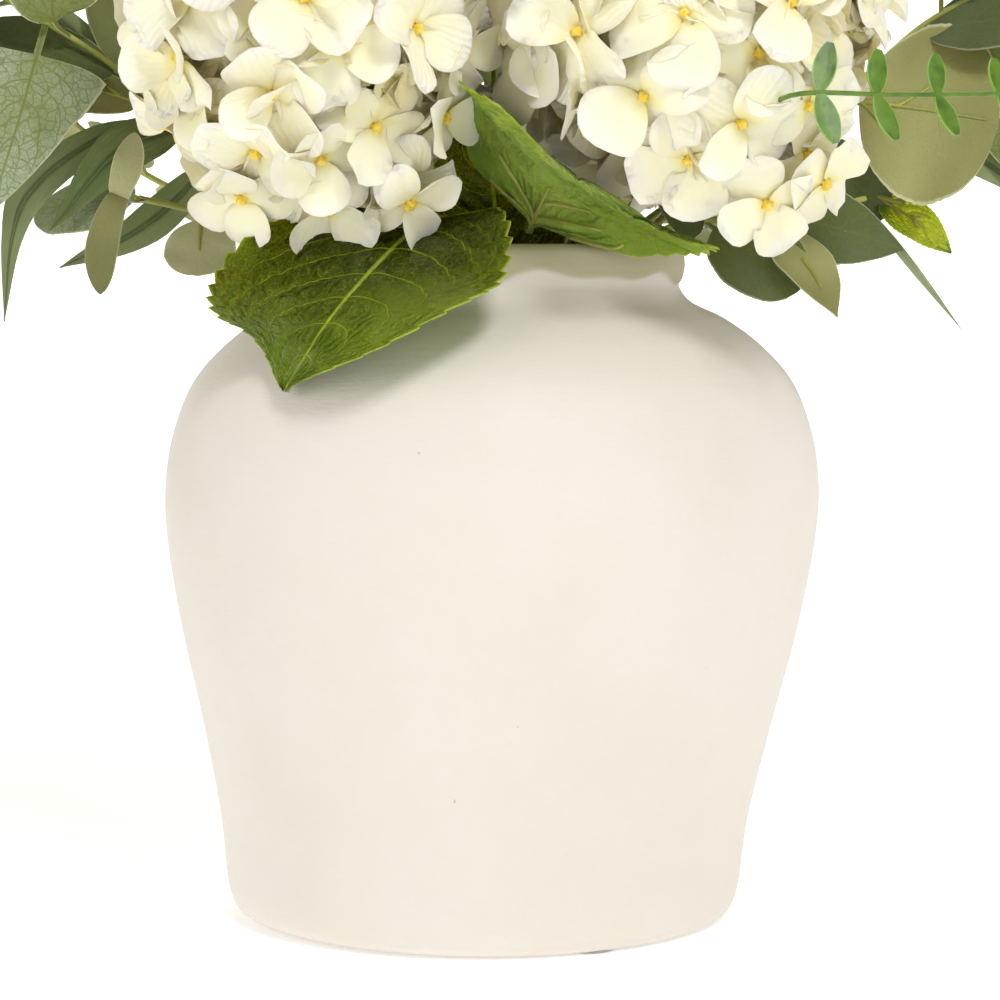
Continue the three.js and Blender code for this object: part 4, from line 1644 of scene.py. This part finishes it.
    def centres(self, centre: np.ndarray, out: np.ndarray, spin: np.ndarray) -> Patch:
        """Makes the florets' golden centres, each a small four-sided bud with a blunt top.

        Args:
            centre: Centres of the florets.
            out: Their outward directions.
            spin: Their turn about the outward direction.

        Returns:
            The closed buds: rings whose radius swells by the cosine of four times the turn.
        """
        rows = np.array([(0.0, -1.2), (1.5, -1.0), (2.1, 0.6), (1.5, 2.2), (0.0, 2.6)])
        side, up = beside(out)
        turn = spin[:, None] + np.linspace(0, FULL_TURN, 9)[None, :]
        corner = 1 + 0.22 * np.cos(4 * (turn - spin[:, None]))
        ring = np.cos(turn)[..., None] * side[:, None] + np.sin(turn)[..., None] * up[:, None]
        ring = ring * corner[..., None]
        points = (
            centre[:, None, None]
            + ring[:, None] * rows[None, :, :1, None]
            + out[:, None, None] * rows[None, :, 1:, None]
        )
        return skin(points)

    def stalks(self, centre: np.ndarray, out: np.ndarray) -> Patch:
        """Makes the florets' stalks: each bends from the head's middle to its floret.

        Args:
            centre: Centres of the florets.
            out: Their outward directions.

        Returns:
            The stalks, on curves through three points by the squares of the way.
        """
        middle = np.array(self.at)
        reach = centre - middle
        share = np.linspace(0, 1, 6)[None, :, None]
        start = middle + reach * 0.3 - np.array([0, 0, 0.1 * self.size[2]])
        bow = centre - out * 14
        path = start[:, None] * (1 - share) ** 2 + 2 * bow[:, None] * share * (1 - share)
        path = path + centre[:, None] * share**2
        radii = np.broadcast_to(np.linspace(1.1, 0.8, 6), (len(centre), 6))
        return rods(path, radii, 5)

    def core(self) -> Patch:
        """Makes the rough middle of the head.

        Returns:
            A ball with lumps, a sine round times a cosine upwards, that the stalks spring from.
        """
        rise = np.linspace(-np.pi / 2, np.pi / 2, 18)[:, None]
        turn = np.linspace(0, FULL_TURN, 37)[None, :]
        lumps = 0.6 + 0.03 * np.sin(5 * turn + 1) * np.cos(4 * rise)
        ball = turned(np.cos(rise), np.sin(rise), turn)
        return skin(np.array(self.at) + ball * lumps[..., None] * np.array(self.size))

    def stem_path(self) -> list[list[float]]:
        """Follows the stem.

        Returns:
            Its points: upright in the foam, then up to the inside of the head.
        """
        x, y, z = self.at
        under = [x * 0.66, y * 0.66, z - self.size[2] * 0.86]
        inside = [x * 0.9, y * 0.9, z - self.size[2] * 0.45]
        return [*foot_of(self.hole), under, inside]

    def build(self) -> None:
        """Makes the head and its stem with its broad leaf."""
        rng = np.random.default_rng(self.seed)
        centre, out, length, spin, tone = self.places(rng)
        petals = self.petal_grids(centre, out, length, spin, tone, rng)
        node = f"hydrangea_head_{self.name}"
        add_piece(f"petals_{self.name}", [petals], PETAL, node)
        add_piece(f"floret_centres_{self.name}", [self.centres(centre, out, spin)], CENTRE, node)
        add_piece(f"floret_stalks_{self.name}", [self.stalks(centre, out), self.core()], STALK, node)

        path = self.stem_path()
        leaf = BROAD_LEAVES[self.name]
        root = Route(path).at(self.leaf_place)[0]
        stem = rod(path, self.stem_radius, self.stem_radius, 40, 12)
        stalk = rod([list(root), *leaf.stalk], *leaf.stalk_radii, 14, 8)
        ribs = leaf.blade.ribs(leaf.ribs, leaf.rib, leaf.rib_lift)
        node = f"hydrangea_stem_{self.name}"
        add_piece(f"broad_leaf_{self.name}", [leaf.blade.sheet(*leaf.grid, leaf.cloth)], BROAD_CLOTH, node)
        add_piece(f"stem_and_ribs_{self.name}", [stem, stalk, ribs], STEM, node)


# Heights at which every stem starts and stops standing upright.
STEM_FOOT, STEM_BEND = 186.3, 223.0


def foot_of(hole: Sequence[float]) -> list[list[float]]:
    """Gives the two points of a stem that stand in its hole in the foam."""
    return [[*hole, STEM_FOOT], [*hole, STEM_BEND]]


@dataclass
class BroadLeaf:
    """A serrated leaf on a flower's stem.

    Attributes:
        stalk: Its stalk's points beyond the stem.
        blade: Its blade.
        ribs: The moulded ribs under it.
        grid: Points along and across the blade.
        cloth: Thickness of the blade.
        rib: Radius of a rib at its start.
        rib_lift: How far a rib's middle stands off the blade.
        stalk_radii: The stalk's radius at its start and at the blade.
    """

    stalk: Points
    blade: Blade
    ribs: Points = (
        (0.0, 0.0, 0.62, 0.0), (0.12, 0.03, 0.34, 0.5), (0.3, 0.03, 0.52, 0.45),
        (0.12, -0.03, 0.34, -0.5), (0.3, -0.03, 0.52, -0.45), (0.42, -0.02, 0.6, -0.35),
    )
    grid: tuple[int, int] = (141, 41)
    cloth: float = 0.7
    rib: float = 1.0
    rib_lift: float = 0.75
    stalk_radii: tuple[float, float] = (1.7, 1.5)


BROAD_LEAVES = {
    "front_left": BroadLeaf(
        stalk=[[-17, -43, 259], [-22, -58, 262]],
        blade=Blade(
            [[-22, -58, 262], [-40.7, -86, 243.1], [-55.9, -98, 225], [-71.7, -95, 201]],
            (46.5, 48.5), (-0.33, -0.96, 0.19), Outline.BROAD, (-0.34, -0.48, 0.81), 0, 1.0, 0.44,
            lobe=1.2, curl=19, seed=0.3,
        ),
    ),
    "front_right": BroadLeaf(
        stalk=[[15, -40, 258], [14, -57, 256]],
        blade=Blade(
            [[14, -57, 256], [22.7, -72.7, 274.1], [26.5, -91.4, 274.7], [30.4, -99.8, 274.5]],
            (60.5, 46.7), (0.53, 0.58, 0.62), Outline.BROAD, (0.23, 0.5, 0.83), 7.7, 1.2, 0, False, 1.7,
        ),
        ribs=(
            (0, 0, 0.27, 0), (0.08, 0.02, 0.25, 0.55), (0.05, 0.15, 0.12, 0.75), (0.17, -0.03, 0.26, -0.32),
            (0.08, -0.02, 0.19, -0.52), (0.08, -0.85, 0.17, -0.75),
        ),
    ),
    "back_left": BroadLeaf(
        stalk=[[-20, 45, 258], [-23, 66, 258]],
        blade=Blade(
            [[-23, 66, 258], [-36, 88, 249], [-50, 104, 231], [-60, 112, 202]],
            (45, 45), (-0.2, 0.55, 0.8), Outline.BROAD, (-0.1, 0.9, 0.3), -7, 1.5, 0, False, 2.9,
        ),
    ),
    "back_right": BroadLeaf(
        stalk=[[20, 44, 258], [24, 66, 258]],
        blade=Blade(
            [[24, 66, 258], [33, 88, 249], [42, 103, 231], [48, 110, 203]],
            (33, 33), (0.2, 0.55, 0.8), Outline.BROAD, (0.1, 0.9, 0.3), -7, 1.5, 0, False, 4.1,
        ),
    ),
    # The top leaf's low tone is painted shade: it stands dark in the shaded middle of the bouquet.
    "top": BroadLeaf(
        stalk=[[-1, -12, 243], [2, -24, 241]],
        blade=Blade(
            [[2, -24, 241], [2, -30, 258], [0, -34, 277], [-4, -34, 300]],
            (28, 30), (-0.1, -0.9, 0.3), Outline.BROAD, None, 3, 1.0, 0, False, 5.3, tone=0.1,
        ),
    ),
}

# Florets listed for the two front heads: place from the head's middle, diameter, spin in
# degrees, and how the floret leans out of its outward direction.
FRONT_LEFT_FLORETS = (
    (-5, -54, -28, 47, 20, 0, 0, 0.1),
    (17, -57, -12, 46, 75, 0.1, 0, 0.2),
    (-37, -48, -15, 44, 10, -0.2, 0, 0.1),
    (-12, -40, -47, 42, 60, 0, -0.1, 0.2),
    (10, -40, -49, 42, 15, 0.1, -0.1, 0.1),
    (29, -38, -38, 44, 70, 0.1, -0.2, 0.2),
    (38, -18, -56, 40, 30, 0.2, -0.3, -0.1),
    (52, -18, -34, 43, 5, 0.2, -0.3, 0.1),
    (40, -24, -64, 38, 50, 0.1, -0.4, -0.2),
    (-33, -51, 5, 45, 35, 0, 0, 0.2),
    (43, -44, -5, 45, 65, 0.1, 0, 0),
    (58, -20, -12, 42, 25, 0.2, -0.2, 0),
    (-18, -22, -62, 40, 10, 0, -0.4, 0),
    (12, -20, -66, 40, 80, 0, -0.4, 0),
    (-45, -6, -36, 40, 45, -0.2, -0.5, 0),
    (6, -60, 4, 46, 50, 0, 0, 0),
    (-48, -30, -2, 44, 50, -0.1, -0.2, 0),
    (-50, -18, 20, 44, 10, -0.1, -0.2, 0),
)
FRONT_RIGHT_FLORETS = (
    (-41, -46, -7, 52, 45, -0.1, 0, 0),
    (-6, -60, -2, 52, 5, 0, 0, 0.2),
    (-19, -52, -29, 47, 30, 0, 0, 0.1),
    (-31, -4, -44, 42, 60, -0.1, -0.6, 0),
    (19, -55, -15, 46, 15, 0.1, 0, 0),
    (14, -50, -38, 46, 70, 0.1, -0.1, 0.1),
    (24, -34, -65, 39, 30, 0, -0.5, 0),
    (45, -26, -58, 38, 75, 0.2, -0.5, 0.1),
    (56, -22, 8, 44, 20, 0.2, -0.1, 0),
    (64, 6, -6, 44, 40, 0.2, -0.6, -0.2),
    (63, 20, 16, 42, 10, 0.2, -0.7, 0),
    (38, -26, -48, 43, 50, 0.2, -0.2, 0.1),
    (-3, -38, -50, 44, 5, 0, -0.2, 0.1),
    (37, -42, -32, 44, 35, 0.2, 0, 0.1),
    (30, -54, 2, 46, 60, 0.1, 0, 0),
    (-54, -8, -24, 42, 20, -0.3, -0.6, 0),
    (-60, 10, -8, 42, 65, -0.4, -0.8, 0),
    (-48, 22, -26, 42, 40, -0.4, -1.0, 0),
    (-60, -20, 6, 44, 30, -0.1, -0.5, 0),
    (-58, -22, -16, 42, 70, -0.1, -0.5, 0),
    (-50, -36, 22, 45, 15, 0, -0.3, 0),
)
HEADS = (
    Head(
        "front_left", (-68, -62, 329), (65, 63, 66), (-13, -13), 3, 200, FRONT_LEFT_FLORETS,
        clear=((-74, -10, -8, 39),),
    ),
    Head(
        "front_right", (71, -61, 330), (66, 63, 67), (13, -13), 12, 200, FRONT_RIGHT_FLORETS,
        clear=((50, -30, -26, 26), (-36, -20, -56, 24)),
    ),
    Head("back_left", (-67, 77, 325), (65, 62, 65), (-13, 13), 23, 130),
    Head("back_right", (69, 78, 327), (64, 62, 66), (13, 13), 31, 130),
    Head("top", (0, 9, 416), (64, 62, 56), (0, 0), 47, 130),
)


# ---- greenery


SERRATED_GRID = (81, 25)
SHORT_RIB = ((0.0, 0.0, 0.1, 0.0),)
ROUND_RIBS = (
    (0.0, 0.0, 0.66, 0.0), (0.24, 0.02, 0.34, 0.34), (0.46, -0.02, 0.55, -0.3), (0.5, 0.02, 0.58, 0.24),
)


@dataclass(frozen=True)
class Make:
    """How a kind of spray is made.

    Attributes:
        outline: The outline of its leaves.
        cloth: Their finish.
        stem: The finish of its stem.
        grid: Points along and across a leaf.
        thickness: Thickness of a leaf.
        radius: Radius of the stem at its foot.
        wave: How deep the leaves' edges ruffle, in half widths.
        ribbed: Whether they have moulded ribs.
    """

    outline: Outline
    cloth: Finish
    stem: Finish = STEM
    grid: tuple[int, int] = (43, 19)
    thickness: float = 0.45
    radius: float = 1.7
    wave: float = 0.035
    ribbed: bool = True


class Kind(Enum):
    """The kinds of spray."""

    EUCALYPTUS = Make(Outline.ROUND, ROUND_CLOTH)
    LONG = Make(Outline.LONG, LONG_CLOTH)
    SPRIG = Make(Outline.SMALL, SPRIG_GREEN, SPRIG_GREEN, (15, 9), 0.9, 1.1, 0.0, False)


@dataclass
class Tip:
    """One leaf of a spray, given by where it starts on the stem and where its tip is.

    Attributes:
        start: Its place on the stem above the foam, as a share of the way.
        tip: Its tip.
        width: Its greatest width.
        face: Where its face looks.
        arch: How far its middle is raised along face.
        outline: Its outline, where it differs from the spray's.
        under: Whether its underside looks along face.
        tone: From 0 for dark cloth to 1 for pale; near 1 it also lightens a round leaf's underside as painted
            light.
        via: Points that its spine takes in place of the raised middle.
        bare: Share of its spine that is bare stalk.
        ribs: The moulded ribs under it.
        lobe: How far its base bulges back beside the stalk.
    """

    start: float
    tip: Sequence[float]
    width: float
    face: Sequence[float]
    arch: float
    outline: Outline | None = None
    under: bool = False
    tone: float = 0.6
    via: Points = ()
    bare: float = 0.13
    ribs: Points = ROUND_RIBS
    lobe: float = 0.0


@dataclass
class Row:
    """A regular row of leaves, to the left and right of the stem by turns or in pairs.

    Attributes:
        first: Place of the first leaf above the foam, as a share of the way.
        last: Place of the last one.
        count: How many places there are.
        length: Length of the first leaf.
        width: Width of the first leaf.
        lean: Angle between leaf and stem in degrees.
        face: Where the leaves look.
        arch: How far their middles are raised.
        paired: Whether each place has two leaves.
    """

    first: float
    last: float
    count: int
    length: float
    width: float
    lean: float
    face: Sequence[float]
    arch: float = 0.0
    paired: bool = False


@dataclass
class Spray:
    """One stem of greenery.

    Attributes:
        name: The name of the node that it replaces.
        kind: What kind of greenery it is.
        hole: Where it stands in the foam.
        route: Its stem's points above the foam.
        leaves: Its leaves, one by one or as a regular row.
    """

    name: str
    kind: Kind
    hole: tuple[float, float]
    route: Points
    leaves: Sequence[Tip] | Row

    def path(self) -> list[Sequence[float]]:
        """Gives the whole route of the stem."""
        return [*foot_of(self.hole), *self.route]

    def seed(self, number: int) -> float:
        """Gives a number of its own to each leaf."""
        return (sum(map(ord, self.name)) % 97) * 0.37 + number * 1.71

    def tipped(self, stem: Route, leaves: Sequence[Tip]) -> list[Blade]:
        """Makes the blades that are given by their tips.

        Args:
            stem: The stem's route.
            leaves: The leaves.

        Returns:
            Their blades.
        """
        blades = []
        for number, leaf in enumerate(leaves):
            base = stem.at(stem.beyond(2, leaf.start))[0]
            blades.append(self.blade(base, leaf, self.seed(number)))
        return blades

    def blade(self, base: np.ndarray, leaf: Tip, seed: float) -> Blade:
        """Makes one blade, cupped by an amount of its own.

        Args:
            base: Its base on the stem.
            leaf: Its tip and what else is given.
            seed: The number that makes it differ.

        Returns:
            The blade.
        """
        make, half = self.kind.value, leaf.width / 2
        middle = (base + np.array(leaf.tip)) / 2 + unit(np.array(leaf.face, dtype=float)) * leaf.arch
        return Blade(
            [base, *(leaf.via or [middle]), leaf.tip], (half, half), leaf.face,
            leaf.outline or make.outline, cup=0.1 * half * math.sin(seed * 2.3), wave=make.wave * half,
            under=leaf.under, seed=seed, lobe=leaf.lobe, bare=leaf.bare, tone=leaf.tone,
        )

    def rowed(self, stem: Route, row: Row) -> list[Blade]:
        """Makes the blades of a regular row, and the one that ends it.

        Each tip lies at the row's lean from the stem, across it and to one hand. The leaves
        get shorter and narrower towards the stem's end, and their tones take turns.

        Args:
            stem: The stem's route.
            row: The row.

        Returns:
            The blades.
        """
        blades = []
        hands = (-1, 1) if row.paired else (0,)
        for number in range(row.count):
            share = number / (row.count - 1)
            place = stem.beyond(2, row.first + (row.last - row.first) * share)
            base, way = stem.at(place)[0], stem.along(place)[0]
            face = np.array(row.face, dtype=float)
            face = unit(face - face.dot(way) * way)
            side = np.cross(way, face)
            reach = row.length * (1 - 0.35 * share)
            for hand in hands:
                angle = math.radians(row.lean) * (hand or (1 if number % 2 else -1))
                tip = base + way * reach * math.cos(angle) + side * reach * math.sin(angle)
                tone = (0.618 * number + 0.3 * hand) % 1
                leaf = Tip(0, tip, row.width * (1 - 0.3 * share), face, row.arch, tone=0.2 + 0.7 * tone)
                blades.append(self.blade(base, leaf, self.seed(2 * number + hand)))
        end = stem.at(0.985)[0]
        tip = end + stem.along(1.0)[0] * row.length * 0.62
        leaf = Tip(0, tip, row.width * 0.66, row.face, row.arch)
        blades.append(self.blade(end, leaf, self.seed(30)))
        return blades

    def build(self) -> None:
        """Makes the leaves and the stem with its ribs."""
        make = self.kind.value
        stem = Route(self.path())
        if isinstance(self.leaves, Row):
            blades = self.rowed(stem, self.leaves)
            ribs = [ROUND_RIBS] * len(blades)
        else:
            blades = self.tipped(stem, self.leaves)
            ribs = [leaf.ribs for leaf in self.leaves]
        plain = [blade for blade in blades if blade.outline is not Outline.BROAD]
        leaves = [blade.sheet(*make.grid, make.thickness) for blade in plain]
        add_piece(f"leaves_{self.name}", leaves, make.cloth, self.name)
        serrated = [blade for blade in blades if blade.outline is Outline.BROAD]
        if serrated:
            leaves = [blade.sheet(*SERRATED_GRID, make.thickness) for blade in serrated]
            add_piece(f"serrated_leaves_{self.name}", leaves, BROAD_CLOTH, self.name)
        parts = [rod(self.path(), make.radius, make.radius * 0.6, 60, 10)]
        if make.ribbed:
            parts += [blade.ribs(lines, 0.8, 0.5) for blade, lines in zip(blades, ribs)]
        add_piece(f"stem_{self.name}", parts, make.stem, self.name)


SPRAYS = (
    Spray(
        "eucalyptus_left_high", Kind.EUCALYPTUS, (-39, 4),
        [[-66, 7, 262], [-104, 8, 284], [-142, 2, 318], [-194, -4, 350]],
        [
            Tip(
                0.82, (-184.7, -14, 263), 56, (0.1, -0.9, 0.3), 3, Outline.OVATE, tone=0.62,
                via=[[-167.9, -12, 318], [-172.4, -15, 300.4]], bare=0.3, lobe=9,
            ),
            Tip(0.6, (-193, 3, 331), 26, (0.1, -0.8, 0.6), 3, tone=0.1),
            Tip(0.42, (-148, 30, 356), 32, (0.1, -0.8, 0.4), 3, under=True, tone=0.1),
            Tip(0.5, (-190, 8, 318), 26, (0.0, -0.8, 0.6), 2, under=True, tone=0.35),
            Tip(0.9, (-228, -6, 326), 42, (0.2, -0.8, 0.5), 3),
            Tip(
                0.76, (-161, -8, 373), 41, (0.2, -0.8, 0.4), 3, tone=0.95,
                via=[[-161, -8, 333], [-161, -10, 353]], bare=0.34,
            ),
            Tip(0.98, (-226, -8, 376), 38, (0.3, -0.8, 0.5), 3),
        ],
    ),
    Spray(
        "eucalyptus_left_low", Kind.EUCALYPTUS, (-37, -11),
        [[-66, -11, 257], [-96, -14, 261], [-126, -14, 267], [-131, -17, 268]],
        [
            # This pale leaf's full tone also lifts its underside as painted light, against the heads' shade.
            Tip(
                0.44, (-107, -26, 239.5), 27, (-0.1, -0.9, 0.1), 1, under=True, tone=1.0,
                ribs=((0.2, 0.0, 0.62, 0.0),),
            ),
            Tip(
                0.68, (-141, -42, 233), 12.5, (-0.2, -0.9, 0.2), 2, Outline.SPOON, True, 0.3,
                via=[[-134, -41, 268], [-140, -43, 250]], ribs=SHORT_RIB,
            ),
            Tip(
                0.66, (-128, -41, 291), 12, (-0.3, -0.9, 0.1), 2, Outline.SPOON, True, 0.95,
                via=[[-134, -40, 268], [-130.5, -43, 279]], ribs=SHORT_RIB,
            ),
            Tip(0.7, (-173, 24, 264), 28, (0.1, -0.8, 0.5), 2, tone=0.5),
        ],
    ),
    Spray(
        "long_leaves_left", Kind.LONG, (-33, 19),
        [[-62, 17, 262], [-98, 18, 286], [-124, 15, 302], [-150, 21, 314]],
        [
            Tip(
                0.6, (-182, -2, 222), 13.5, (0.4, -0.8, 0.4), 8, tone=0.88,
                via=[[-148, 8, 290], [-173.5, 3, 269], [-179, 1, 254]],
            ),
            Tip(0.52, (-164, -6, 256), 19, (0.3, -0.8, 0.4), 5, tone=0.3, via=[[-137, -4, 286]]),
            Tip(0.36, (-163, 12, 242), 15, (0.3, -0.8, 0.5), 6, tone=0.9, via=[[-130, 10, 258]]),
            Tip(0.94, (-206, 22, 300), 15, (0.2, -0.7, 0.7), 5),
            Tip(0.8, (-186, 34, 352), 15, (0.2, -0.8, 0.5), 4),
        ],
    ),
    Spray(
        "eucalyptus_right_high", Kind.EUCALYPTUS, (39, 4),
        [[66, 7, 262], [104, 8, 284], [132, 6, 306], [164, 12, 334], [196, 10, 350]],
        [
            Tip(
                0.49, (188, -8, 296), 70, (0.1, -0.95, 0.2), 2, under=True, tone=0.8,
                ribs=((0, 0, 0.92, 0), (0.36, 0, 0.56, -0.3), (0.1, 0, 0.3, 0.36), (0.66, 0, 0.76, 0.2)),
            ),
            Tip(0.7, (207, -2, 334), 34, (-0.1, -0.7, 0.7), 3, tone=0.1),
            Tip(0.88, (206, 14, 276), 30, (-0.2, -0.9, 0.1), 2, tone=0.5),
            Tip(0.34, (150, 14, 262), 26, (0.1, -0.9, 0.3), 2, tone=0.15),
            Tip(0.79, (168, 2, 380), 40, (-0.2, -0.9, 0.3), 3),
            Tip(0.98, (228, 4, 372), 38, (-0.3, -0.8, 0.5), 3),
        ],
    ),
    Spray(
        "eucalyptus_right_low", Kind.EUCALYPTUS, (37, -11),
        [[66, -11, 257], [94, -14, 260], [122, -8, 264], [140, 2, 268]],
        [
            Tip(0.15, (112, -34, 234), 33, (0.2, -0.9, 0.3), 2, tone=0.32),
            Tip(
                0.46, (124.6, -48, 225), 25, (0.4, -0.8, 0.2), 2, Outline.LONG, True, 0.85,
                ribs=((0.45, 0.1, 0.75, 0.05),),
            ),
            Tip(0.5, (153.5, -4, 249), 34, (0.1, -0.9, 0.3), 2, Outline.OVATE, tone=0.15),
            Tip(0.1, (73, -44, 253), 18, (0.0, -0.9, 0.2), 1, tone=0.0, via=[[67, -34, 274]]),
        ],
    ),
    Spray(
        "sprig_right", Kind.SPRIG, (27, -1),
        [[60, 0, 274], [92, -40, 290], [103, -127, 301], [134, -121, 301], [171, -104, 302], [214, -72, 305]],
        Row(0.45, 0.93, 5, 19, 8, 76, (0.1, -0.9, 0.4), 0, paired=True),
    ),
    Spray(
        "long_leaves_right", Kind.LONG, (33, 19),
        [[62, 17, 262], [98, 20, 274], [132, 16, 272], [156, 12, 266]],
        [
            Tip(0.72, (177, 5, 219), 3.6, (-0.2, -0.8, 0.6), 1, tone=1.0),
            Tip(0.84, (175, 16, 248), 18, (0, -0.8, 0.6), 3, Outline.BROAD, True, 0.5),
            Tip(0.96, (208, 22, 266), 18, (-0.1, -0.8, 0.6), 3, tone=0.6, via=[[180, 20, 284]]),
            Tip(0.6, (176, 40, 292), 14, (-0.1, -0.8, 0.6), 3),
        ],
    ),
    Spray(
        "eucalyptus_back_left", Kind.EUCALYPTUS, (-6, 39),
        [[-6, 67, 258], [-7, 108, 266], [-18, 144, 282], [-46, 166, 322]],
        Row(0.56, 0.9, 4, 42, 38, 62, (-0.2, 0.8, 0.6), 3),
    ),
    Spray(
        "eucalyptus_back_right", Kind.EUCALYPTUS, (7, 39),
        [[7, 67, 258], [9, 108, 267], [22, 144, 284], [52, 166, 326]],
        Row(0.56, 0.9, 4, 42, 38, 62, (0.2, 0.8, 0.6), 3),
    ),
    Spray(
        "long_leaves_back", Kind.LONG, (0, 28),
        [[1, 62, 274], [1, 104, 306], [2, 140, 326], [4, 162, 338]],
        Row(0.48, 0.9, 4, 48, 14, 40, (0, 0.5, 0.9), 4),
    ),
    Spray(
        "eucalyptus_left_back", Kind.EUCALYPTUS, (-29, 27),
        [[-55, 42, 257], [-98, 56, 262], [-146, 72, 284], [-190, 86, 320]],
        Row(0.28, 0.9, 5, 42, 36, 60, (-0.5, 0.4, 0.8), 3),
    ),
    Spray(
        "eucalyptus_right_back", Kind.EUCALYPTUS, (29, 27),
        [[55, 42, 257], [98, 56, 262], [146, 72, 286], [190, 86, 324]],
        Row(0.28, 0.9, 5, 42, 36, 60, (0.5, 0.4, 0.8), 3),
    ),
    Spray(
        "eucalyptus_top_left", Kind.EUCALYPTUS, (-21, 2),
        [[-22, 6, 300], [-42, 8, 350], [-84, 8, 386], [-126, 8, 414], [-158, 8, 444]],
        Row(0.54, 0.91, 5, 38, 34, 58, (-0.6, -0.4, 0.7), 3),
    ),
    Spray(
        "long_leaves_top_right", Kind.LONG, (20, 8),
        [[20, 8, 300], [42, 8, 350], [84, 9, 386], [120, 9, 406], [148, 10, 416]],
        Row(0.58, 0.91, 5, 60, 14, 42, (0.4, -0.2, 0.9), 4),
    ),
    Spray(
        "sprig_front_top", Kind.SPRIG, (0, -22),
        [[1, -16, 262], [1, -16, 324], [1, -50, 360], [2, -92, 388], [6, -136, 404], [10, -176, 416]],
        Row(0.47, 0.93, 5, 16, 9, 62, (0, -0.4, 0.9), 0, paired=True),
    ),
    Spray(
        "eucalyptus_back_top", Kind.EUCALYPTUS, (0, 16),
        [[0, 30, 300], [0, 64, 350], [-2, 104, 386], [-6, 140, 410], [-10, 166, 436]],
        Row(0.54, 0.91, 5, 38, 34, 58, (0, 0.6, 0.8), 3),
    ),
)


# ---- studio


@dataclass
class Studio:
    """The camera, the lights and the paper floor.

    Attributes:
        eye: The camera's place in millimetres.
        focal: Its focal length, in widths of the picture.
        fall: How far the picture's middle lies below the horizon, in widths of the picture.
        sensor: The sensor's width in millimetres.
        sky: The strength of the even light all round.
        sky_colour: Its colour.
        lamps: Each lamp's name, place and size in metres, and power in watts.
        lamp_colour: The colour of the lamps.
        aim: Where the lamps look, in metres.
    """

    eye: tuple[float, float, float] = (3.4, -1197.0, 252.5)
    focal: float = 3.192
    fall: float = 0.26
    sensor: float = 36.0
    sky: float = 0.27
    sky_colour: Colour = (1, 0.95, 0.8, 1)
    lamps: Sequence[tuple[str, tuple[float, float, float], float, float]] = (
        ("key", (0.5, -1.3, 1.66), 0.5, 17),
        ("left", (-1.7, -1.3, 0.7), 1.4, 11.5),
        ("right", (1.7, -1.3, 0.7), 1.4, 6),
        ("behind", (-0.2, 1.5, 1.6), 1.0, 7),
    )
    lamp_colour: tuple[float, float, float] = (0.985, 0.99, 1.0)
    aim: tuple[float, float, float] = (0.0, 0.0, 0.22)

    def camera(self) -> None:
        """Makes the camera at the photograph's viewing angle."""
        data = bpy.data.cameras.new("camera")
        data.sensor_width = self.sensor
        data.lens = self.focal * self.sensor
        data.clip_end = 50.0
        camera = bpy.data.objects.new("camera", data)
        camera.location = [value * MM for value in self.eye]
        camera.rotation_euler = (math.pi / 2 - math.atan(self.fall / self.focal), 0, 0)
        bpy.context.scene.collection.objects.link(camera)
        bpy.context.scene.camera = camera

    def light(self, name: str, place: Sequence[float], size: float, power: float) -> None:
        """Makes one soft square light that looks at the flowers.

        Args:
            name: Its name.
            place: Its place in metres.
            size: Its side in metres.
            power: Its power in watts.
        """
        data = bpy.data.lights.new(name, "AREA")
        data.size = size
        data.energy = power
        data.color = self.lamp_colour
        lamp = bpy.data.objects.new(name, data)
        lamp.location = place
        way = np.array(self.aim) - np.array(place)
        tilt = math.acos(-way[2] / np.linalg.norm(way))
        lamp.rotation_euler = (tilt, 0, math.atan2(way[0], -way[1]) + math.pi)
        bpy.context.scene.collection.objects.link(lamp)

    def floor(self) -> None:
        """Makes the paper: flat under the vase, then curved up behind it by a quarter of a round."""
        half, flat, radius, top, below = 6000.0, 2500.0, 1500.0, 7000.0, 0.05
        bend = np.linspace(0.1, 1, 12) * np.pi / 2
        across = np.linspace(-half, half, 3)[None, :]
        depth = np.concatenate([[-half, flat], flat + radius * np.sin(bend), [flat + radius]])
        height = np.concatenate([[0.0, 0.0], radius - radius * np.cos(bend), [top]]) - below
        points = np.stack(np.broadcast_arrays(across, depth[:, None], height[:, None]), axis=-1)
        new_object("studio_paper", skin(points[None]), PAPER)

    def build(self) -> None:
        """Makes the whole studio."""
        self.camera()
        self.floor()
        world = bpy.data.worlds.new("studio")
        world.use_nodes = True
        background = world.node_tree.nodes["Background"]
        background.inputs["Color"].default_value = self.sky_colour
        background.inputs["Strength"].default_value = self.sky
        bpy.context.scene.world = world
        for lamp in self.lamps:
            self.light(*lamp)
        bpy.context.scene.view_settings.view_transform = "Standard"


def main() -> None:
    """Builds the studio and the object's pieces in order."""
    logging.basicConfig(level=logging.INFO, format="%(message)s")
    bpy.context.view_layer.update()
    Studio().build()
    Vase().build()
    for head in HEADS:
        head.build()
    for spray in SPRAYS:
        spray.build()


if __name__ == "__main__":
    main()
